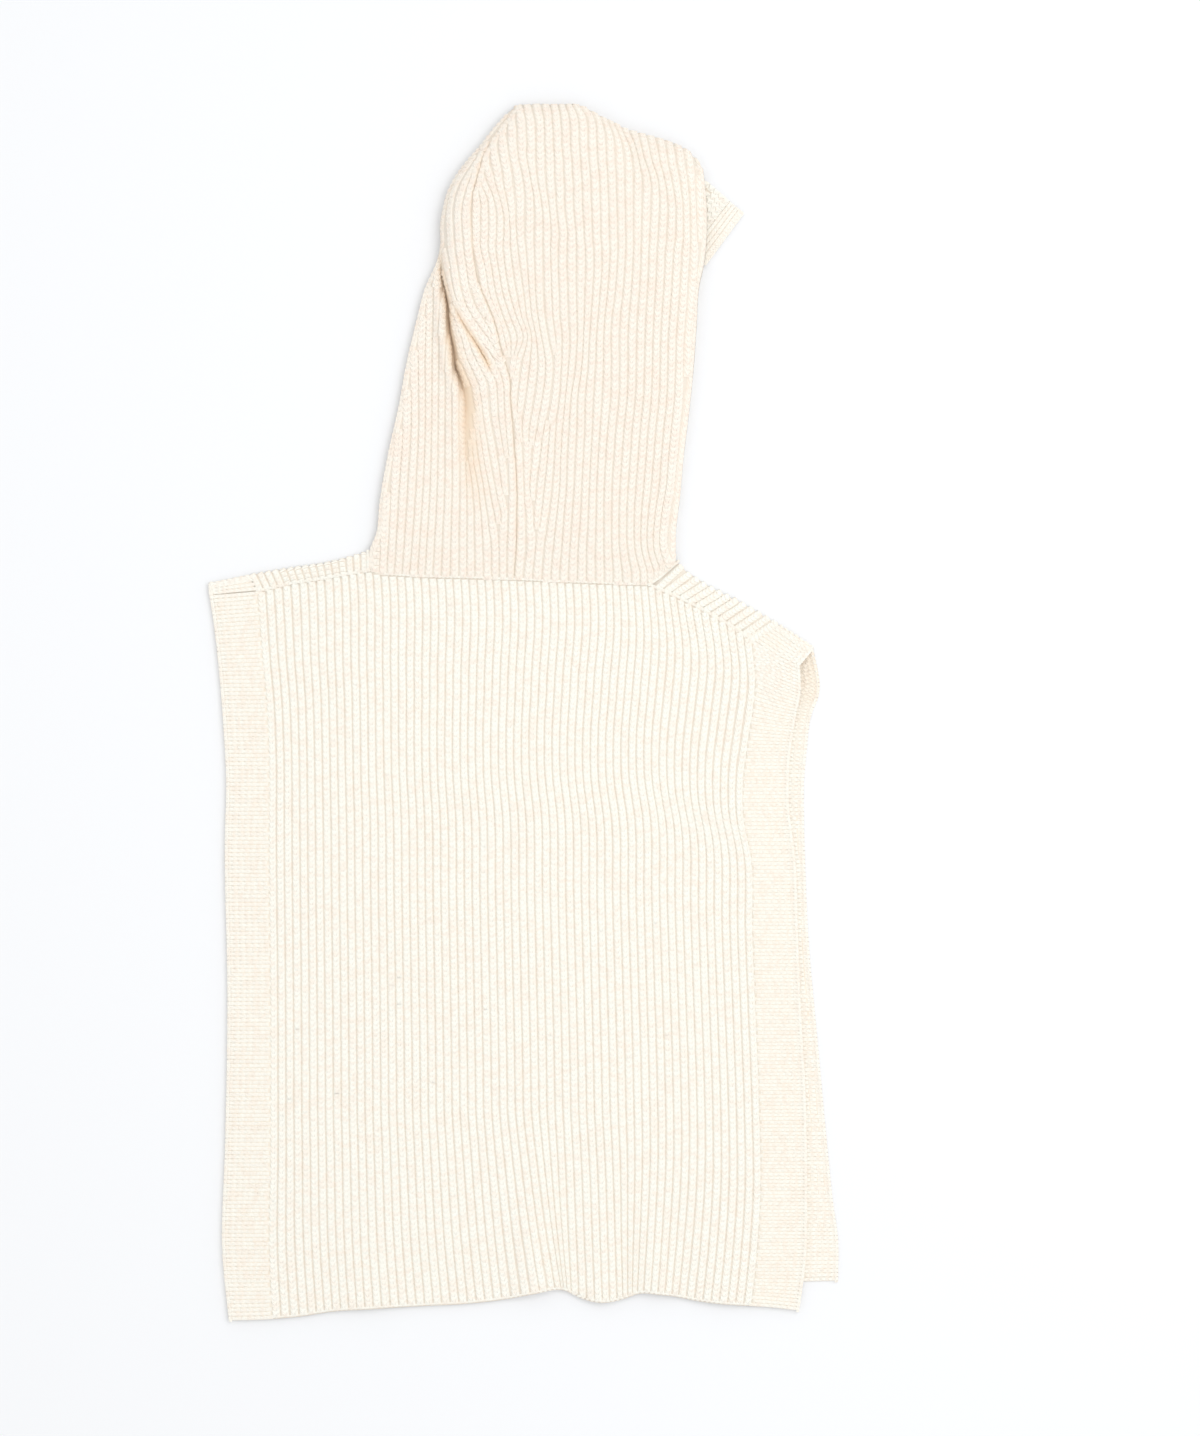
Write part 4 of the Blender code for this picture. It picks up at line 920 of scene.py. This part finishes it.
# The same ribs over the crown, and round the dent at its right
crownTopRibs = [
    ("y", 0, 2, 4, 5, 6, 7, 8, 9, 10),
    (362, -38.6, -26.0, -14.5, -9.6, -5.0, 1.1, 8.4, 15.3, 21.0),
    (377, -38.6, -26.0, -14.5, -10.7, -6.1, 1.5, 8.8, 14.9, 20.3),
    (385, -38.2, -26.4, -16.3, -12.2, -5.7, 1.5, 8.4, 13.8, 19.5),
    (392, -38.6, -28.3, -18.4, -13.4, -6.5, 1.5, 8.0, 12.6, 18.4),
    (400, -40.0, -32.5, -20.7, -15.3, -7.3, 0.8, 6.1, 11.1, 17.6),
    (408, -44.0, -36.0, -22.6, -15.7, -8.0, -0.8, 5.0, 9.9, 17.2),
    (415, -47.0, -38.0, -24.5, -16.8, -9.6, -2.3, 3.4, 9.6, 16.8),
    (423, -50.0, -41.0, -25.6, -18.4, -10.7, -3.8, 2.3, 9.6, 16.8),
    (431, -52.0, -42.5, -26.8, -19.1, -11.9, -4.6, 3.1, 9.6, 16.1),
    (438, -54.0, -44.0, -28.0, -19.9, -12.2, -4.6, 2.3, 9.6, 16.1),
    (446, -56.0, -45.0, -29.0, -20.8, -12.6, -5.0, 1.9, 9.2, 16.1),
    (454, -58.0, -46.0, -30.0, -21.8, -13.8, -6.0, 0.8, 7.6, 15.3),
    (461, -60.0, -47.0, -31.0, -23.0, -15.0, -7.5, -1.0, 6.0, 13.4),
]
dentRibs = [
    ("y", 1, 2, 3, 7, 9, 11, 12, 13, 14, 15, 16, 17, 18, 19, 20),
    (362, 21.0, 27.5, 33.7, 58.7, 71.5, 83.4, 89.5, 95.6, 102.1, 108.6, 115.5, 121.3, 126.6, 132.3,
     137.7),
    (385, 19.5, 24.9, 31.4, 58.4, 71.0, 83.4, 89.9, 96.8, 103.3, 109.4, 115.5, 120.9, 126.2, 131.6,
     136.9),
    (400, 17.6, 24.1, 31.4, 57.8, 70.4, 83.4, 90.3, 97.0, 102.5, 107.9, 113.1, 119.3, 125.1, 130.8,
     136.9),
    (408, 17.2, 23.7, 30.6, 57.4, 70.2, 83.6, 89.9, 95.6, 101.0, 106.3, 111.5, 118.2, 124.2, 130.4,
     136.6),
    (415, 16.8, 23.7, 30.6, 56.6, 69.8, 83.4, 88.4, 93.3, 98.7, 104.0, 110.2, 116.3, 123.4, 130.1,
     136.2),
    (423, 16.8, 23.3, 29.8, 56.1, 69.6, 82.6, 86.8, 91.0, 96.4, 102.9, 109.0, 115.5, 122.4, 128.9,
     135.4),
    (431, 16.1, 23.0, 29.1, 55.8, 69.2, 80.7, 84.5, 89.1, 95.2, 101.4, 108.2, 114.4, 120.9, 127.8,
     134.6),
    (438, 16.1, 23.0, 29.1, 55.7, 68.5, 77.3, 81.9, 88.0, 93.7, 100.2, 107.1, 113.2, 120.1, 127.0,
     133.9),
    (446, 16.1, 21.8, 28.7, 55.3, 65.4, 74.2, 79.6, 85.7, 91.8, 98.3, 105.2, 111.3, 118.2, 125.1,
     132.0),
    (454, 15.3, 21.4, 27.9, 53.2, 62.7, 71.9, 77.3, 83.4, 89.5, 96.0, 102.9, 109.0, 115.9, 122.8,
     129.7),
    (461, 13.4, 20.3, 26.4, 48.2, 59.0, 69.0, 75.0, 81.0, 87.0, 94.0, 101.0, 107.0, 114.0, 121.0,
     128.0),
]


# x of a valley, or of the middle of a rib at half a number, at heights y of the chart
def chartedX(chart, number, y):
    rows = np.array(sorted(chart[1:]), float)
    known = np.array(chart[0][1:], float)
    i = int(np.clip(np.searchsorted(known, number) - 1, 0, len(known) - 2))
    share = (number - known[i]) / (known[i + 1] - known[i])
    return spline(list(zip(rows[:, 0], mix(rows[:, i + 1], rows[:, i + 2], share))), y)


# Ribs of each part of the hood: (chart, rib number, lowest y, highest y)
hoodRibPlan = (
    [("lowerLeft", k + 0.5, 100, 352) for k in range(-3, 10)]
    + [("fan", 0.5, 100, 200), ("fan", 1.5, 100, 206), ("fan", 2.5, 100, 214), ("fan", 3.5, 100, 226),
       ("fan", 4.5, 146, 258)]
    + [("bulge", k + 0.5, 250, 458) for k in range(0, 5)]
    + [("bulge", 5.5, 100, 458), ("bulge", 6.5, 168, 458), ("bulge", 7.5, 196, 458),
       ("bulge", 8.5, 100, 458)]
    + [("bulge", k + 0.5, 255, 458) for k in range(9, 12)]
    + [("neckFan", 0.5, 100, 208), ("neckFan", 1.5, 100, 206), ("neckFan", 2.5, 164, 214),
       ("neckFan", 3.5, 142, 220), ("neckFan", 4.5, 100, 222)]
    + [("crown", k + 0.5, 208, 464) for k in range(0, 6)]
    + [("crown", 6.5, 206, 464), ("crown", 7.5, 206, 464), ("crown", 8.5, 214, 464),
       ("crown", 9.5, 264, 464), ("right", 1.5, 222, 464)]
    + [("right", k + 0.5, 100, 464) for k in range(2, 21)]
)
hoodCharts = {"lowerLeft": lowerLeftRibs, "fan": fanRibs, "bulge": bulgeRibs, "crown": crownRibs,
              "neckFan": neckFanRibs, "right": rightRibs}
topCharts = {"crown": crownTopRibs, "right": dentRibs}


# Middle of a rib, which slides along the seam before it goes under it
def hoodRibX(part, number, y):
    x = chartedX(hoodCharts[part], number, y)
    if part in topCharts:
        x = mix(x, chartedX(topCharts[part], number, y),
                ease((y - hood["topFrom"]) / hood["topBlend"]))
    seam = spline(hoodSeam, y)
    if part == "bulge" and number > 5:
        x = mix(chartedX(fanRibs, number, y), x, ease((y - hood["fanTop"]) / hood["fanBlend"]))
    if part in ("fan", "bulge"):
        return np.where(x < seam + hood["seamTuck"], np.minimum(x, seam - hood["seamRib"]), np.nan)
    if part == "lowerLeft":
        return x
    return np.where(x > seam - hood["seamTuck"], np.maximum(x, seam + hood["seamRib"]), np.nan)


def insideHood(part, x, y):
    top = np.minimum(spline(hoodTop, x) - hood["topClear"], 463.5)
    keep = (y > straight(shoulders, x) + hood["neckClear"]) & (y < np.where(x > -14, top, 456))
    left, right = spline(hoodLeftEdge, y), spline(hoodRightEdge, y)
    seam = spline(hoodSeam, y)
    fold = np.where(y > hood["creaseFrom"], creaseAt(y), hood["foldBelow"])
    keep &= x > left + hood["rimClear"]
    keep &= (x < right - np.where(y < 120, hood["rimClearLow"], hood["rimClear"])) | (y > 412)
    if part == "lowerLeft":
        return keep & (x < fold + straight(hood["leftClear"], y))
    if part in ("fan", "bulge"):
        low, high = hood["sideSpan"]
        keep &= (np.abs(x - spline(sideCrease, y)) > hood["sideClear"]) | (y < low) | (y > high)
        return keep & (x > fold + straight(hood["bulgeClear"], y)) & (x < seam - hood["seamClear"])
    return keep & (x > seam + hood["seamClear"])


# The rib that runs round the hood's rim, where its cloth turns under
def rimRib(table, inward, low, high):
    y = np.arange(low, high, 2.0)
    return ribLine(hoodHeight, spline(table, y) + inward * hood["rimRib"], y, hood["rimWidth"],
                   hood["relief"])


def hoodRibLines():
    y = np.arange(*hood["ribRange"])
    least, most = hood["ribWidths"]
    centres = {(part, number): hoodRibX(part, number, y) for part, number, _, _ in hoodRibPlan}
    shown = {}
    for part, number, low, high in hoodRibPlan:
        x = centres[part, number]
        shown[part, number] = insideHood(part, x, y) & (y >= low) & (y <= high)
    every = np.array([np.where(shown[key], centres[key], np.nan) for key in centres])
    for k, key in enumerate(centres):
        shown[key] &= ~(np.abs(every[k + 1:] - every[k]) < hood["crowding"]).any(0)
        every[k] = np.where(shown[key], centres[key], np.nan)
    leftSpan, rightSpan = hood["rimSpans"]
    lines = [rimRib(hoodLeftEdge, 1, *leftSpan), rimRib(hoodRightEdge, -1, *rightSpan)]
    for key, x in centres.items():
        gaps = every - x
        rightGap = np.nanmin(np.where(gaps > 0.5, gaps, np.inf), axis=0)
        leftGap = np.nanmin(np.where(gaps < -0.5, -gaps, np.inf), axis=0)
        width = np.clip((np.minimum(rightGap, most) + np.minimum(leftGap, most)) / 2, least, most)
        runs = np.flatnonzero(np.diff(np.concatenate([[0], shown[key].astype(int), [0]])))
        for start, end in zip(runs[::2], runs[1::2]):
            if end - start > 3:
                part = slice(start, end)
                lines.append(ribLine(hoodHeight, x[part], y[part], width[part], hood["relief"]))
    return lines


# Painted shade: how far light is kept out beside the creases and along the back seam (painted warm shade) and
# deep in the crease (painted dark shade), 0 to 1
def shadeCreases(piece):
    x, y = planOf(piece)

    def beside(amount, line, half):
        return straight(hood[amount], y) * np.exp(-((x - line) / half) ** 2)

    fold, side = creaseAt(y), spline(sideCrease, y)
    # Painted shade along the back seam, in the same warm colour
    seam = hood["seamPaintedWarmShade"] * np.exp(-((x - spline(hoodSeam, y)) / hood["seamPaintedWarmShadeHalf"]) ** 2)
    warm = fold + straight(hood["paintedWarmShadeShift"], y)
    paintedWarmShade = np.maximum(beside("paintedWarmShade", warm, straight(hood["paintedWarmShadeHalf"], y)),
                      beside("sidePaintedWarmShade", side, hood["sidePaintedWarmShadeHalf"]))
    shade = beside("shade", fold, straight(hood["shadeHalf"], y))
    setAttribute(piece.data, "paintedWarmShade", np.maximum(paintedWarmShade, seam))
    setAttribute(piece.data, "shade", shade)


def hoodSide(name, left, right, node):
    place = ruled(left, right, lineOf(shoulders, 0.3, straight), lineOf(hoodTop))
    cloth = clothOver(name, place, hoodHeight, np.linspace(0, 1, 80), 160, hood["wall"], groundKnitPaintedShade)
    shadeCreases(cloth)
    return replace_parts(cloth, node)


hoodLeft = hoodSide("hood_left_cloth", lineOf(hoodLeftEdge), lineOf(hoodSeam), "hood_left")
hoodRight = hoodSide("hood_right_cloth", lineOf(hoodSeam), lineOf(hoodRightEdge), "hood_right")
hoodRibs = knitRibs("hood_ribs", hoodRibLines(), hood["course"], hoodYarn, seed=31)
shadeCreases(hoodRibs)

# Hidden layers of the hood, which part round its rim
hoodLayers = {
    "tops": (1.95, 4.1), "wall": 1.7, "insets": (1.6, 1.0),
    "neckClear": 2, "edgeInset": 0.3, "edgeLean": 0.25, "edgeSink": 0.5,
    "edgeWidth": 2.108, "edgeCourse": 4.0, "edgeRelief": 0.7,
}


def hoodLayer(name, top, inset, seed):
    place = ruled(lineOf(hoodLeftEdge, inset), lineOf(hoodRightEdge, -inset),
                  lineOf(shoulders, -1.0, straight), lineOf(hoodTop, -inset))
    cloth = clothOver(name + "_cloth", place, levelAt(top), np.linspace(0, 1, 16), 90,
                      hoodLayers["wall"], groundKnitPaintedShade)
    around = outline[(outline[:, 1] > straight(shoulders, outline[:, 0]) + hoodLayers["neckClear"])]
    along = np.gradient(around, axis=0)
    outward = unit(np.stack([-along[:, 1], along[:, 0]], 1))
    points = raised(around - outward * (inset + hoodLayers["edgeInset"]), top - hoodLayers["wall"] / 2)
    up = unit(raised(outward, hoodLayers["edgeLean"]))
    chain = (points - up * hoodLayers["edgeSink"], up, hoodLayers["edgeWidth"],
             hoodLayers["edgeRelief"])
    return cloth, knitRibs(name + "_edge", [chain], hoodLayers["edgeCourse"], ribYarn, seed=seed)


lowerLayer = hoodLayer("hood_lower_layer", hoodLayers["tops"][0], hoodLayers["insets"][0], 71)
upperLayer = hoodLayer("hood_upper_layer", hoodLayers["tops"][1], hoodLayers["insets"][1], 72)
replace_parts(lowerLayer[0], "hood_under")

# Peak of the hood's lower layer, past the right fold
peak = {
    "inner": [(136.2, 402.0), (136.6, 366.0)], "outer": [(137.6, 405.4), (156.0, 390.2)],
    "trim": [(156.3, 389.9), (167.2, 381.5), (138.6, 342.5), (136.8, 365.5)],
    "top": 2.3, "wall": 2.0, "ribs": 5, "relief": 0.85, "pitch": (5.5, 7.0), "course": 4.0,
    "trimShares": (0.12, 0.34, 0.56, 0.78, 0.95), "trimRib": 3.2, "trimRelief": 0.6, "trimCourse": 3.0,
}


def quadRows(corners, across, up, top):
    a, b, c, d = np.array(corners, float)
    rows = []
    for t in np.linspace(0, 1, up):
        points = mix(mix(a, d, t), mix(b, c, t), np.linspace(0, 1, across)[:, None])
        rows.append((*points.T, np.full(across, top)))
    return rows


def makePeak():
    inner, outer = np.array(peak["inner"]), np.array(peak["outer"])
    body = clothShell("hood_peak_cloth", quadRows([inner[1], outer[1], outer[0], inner[0]], 12, 12,
                                                  peak["top"]), peak["wall"], groundKnitPaintedShade)
    lines = []
    for k in range(peak["ribs"]):
        share = (k + 0.5) / peak["ribs"]
        line = mix(mix(*inner, share), mix(*outer, share), np.linspace(0, 0.98, 10)[:, None])
        lines.append((raised(line, peak["top"]), upward(line), mix(*peak["pitch"], share),
                      peak["relief"]))
    ribs = knitRibs("hood_peak_ribs", lines, peak["course"], ribYarn, seed=81)
    a, b, c, d = np.array(peak["trim"], float)
    trim = clothShell("hood_trim_cloth", quadRows([d, c, b, a], 8, 12, peak["top"]), peak["wall"],
                      groundKnitPaintedShade)
    lines = []
    for share in peak["trimShares"]:
        line = mix(mix(a, b, share), mix(d, c, share), np.linspace(0.01, 0.99, 24)[:, None])
        lines.append((raised(line, peak["top"]), upward(line), peak["trimRib"], peak["trimRelief"]))
    trimRibs = knitRibs("hood_trim_ribs", lines, peak["trimCourse"], bandYarn, seed=82)
    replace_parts(body, "hood_peak")
    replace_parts(trim, "hood_band")
    return body, ribs, trim, trimRibs


peakCloth, peakRibs, trimCloth, trimRibs = makePeak()

# Stage, light and camera
def makeStage():
    bpy.ops.mesh.primitive_plane_add(size=studio["floorSize"], location=(0, 0, studio["floorLevel"]))
    floor = bpy.context.object
    floor.name = "floor"
    material = bpy.data.materials.new("white_table")
    material.use_nodes = True
    shader = material.node_tree.nodes["Principled BSDF"]
    shader.inputs["Base Color"].default_value = (*studio["floorColour"], 1)
    shader.inputs["Roughness"].default_value = studio["floorRoughness"]
    floor.data.materials.append(material)
    world = bpy.data.worlds.new("tent")
    world.use_nodes = True
    world.node_tree.nodes["Background"].inputs["Color"].default_value = (1, 1, 1, 1)
    world.node_tree.nodes["Background"].inputs["Strength"].default_value = studio["worldStrength"]
    bpy.context.scene.world = world
    lamp = bpy.data.lights.new("key", "AREA")
    lamp.size = studio["keySize"]
    lamp.energy = studio["keyPower"]
    key = bpy.data.objects.new("key", lamp)
    key.location = studio["keyPlace"]
    aim = -np.array(studio["keyPlace"])
    key.rotation_euler = (math.atan2(np.hypot(aim[0], aim[1]), -aim[2]), 0,
                          math.atan2(aim[1], aim[0]) - math.pi / 2)
    bpy.context.scene.collection.objects.link(key)


def makeCamera():
    camera = bpy.data.cameras.new("camera")
    camera.lens = studio["cameraLens"]
    camera.sensor_width = studio["sensorWidth"]
    scale = studio["mmPerPixel"] * mm
    x = (studio["photoWidth"] / 2 - studio["middlePixel"][0]) * scale
    y = (studio["middlePixel"][1] - studio["photoHeight"] / 2) * scale
    tall = studio["photoHeight"] * scale
    eye = bpy.data.objects.new("camera", camera)
    eye.location = (x, y, tall * studio["cameraLens"] / studio["sensorWidth"])
    bpy.context.scene.collection.objects.link(eye)
    bpy.context.scene.camera = eye


makeStage()
makeCamera()
bpy.context.scene.view_settings.view_transform = "Standard"
bpy.data.objects.remove(ribStitch)

slots = {
    "body_rib_knit": [backCloth, *backRibs, frontCloth, *leftStrip, *rightStrip, neckSeam, hemEdge],
    "band_knit": [*backBandLeft, *backBandRight, *frontBandLeft, *frontBandRight, *leftBandTurn,
                  *rightBandTurn, trimCloth, trimRibs],
    "hood_rib_knit": [hoodLeft, hoodRight, hoodRibs, *lowerLayer, *upperLayer, peakCloth, peakRibs],
}
for slotName, shown in slots.items():
    for piece in shown:
        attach(piece, "root")

# What each piece of knit was cut to: width and length in m, area in square m, how it lies
sheets = [
    (backCloth, (0.391, 0.564), 0.2036, "laid", ["front_panel"], [*backRibs, hemEdge, neckSeam]),
    (backBandLeft[0], (0.038, 0.557), 0.0193, "laid", ["front_band_left"], backBandLeft[1:]),
    (backBandRight[0], (0.043, 0.512), 0.0180, "laid", ["front_band_right"], backBandRight[1:]),
    (frontCloth, (0.477, 0.568), 0.2007, "laid", [], []),
    (frontBandLeft[0], (0.036, 0.556), 0.0182, "laid", [], frontBandLeft[1:]),
    (frontBandRight[0], (0.039, 0.503), 0.0154, "laid", [], frontBandRight[1:]),
    (leftStrip[0], (0.093, 0.018), 0.00138, "folded", ["front_panel"], leftStrip[1:]),
    (rightStrip[0], (0.092, 0.031), 0.00208, "folded", ["front_panel"], rightStrip[1:]),
    (leftBandTurn[0], (0.036, 0.017), 0.00047, "folded", ["front_band_left"], leftBandTurn[1:]),
    (rightBandTurn[0], (0.041, 0.029), 0.00093, "folded", ["front_band_right"], rightBandTurn[1:]),
    (hoodLeft, (0.112, 0.379), 0.0256, "folded", ["hood_under"], [hoodRibs]),
    (hoodRight, (0.193, 0.383), 0.0550, "folded", ["hood_under"], []),
    (lowerLayer[0], (0.229, 0.377), 0.0728, "folded", [], lowerLayer[1:]),
    (upperLayer[0], (0.230, 0.377), 0.0733, "folded", [lowerLayer[0]], upperLayer[1:]),
    (peakCloth, (0.031, 0.036), 0.00040, "folded", [], [peakRibs]),
    (trimCloth, (0.023, 0.048), 0.00058, "folded", [], [trimRibs]),
]
for piece, flat, area, held, under, carried in sheets:
    list(carried)
    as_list(under)
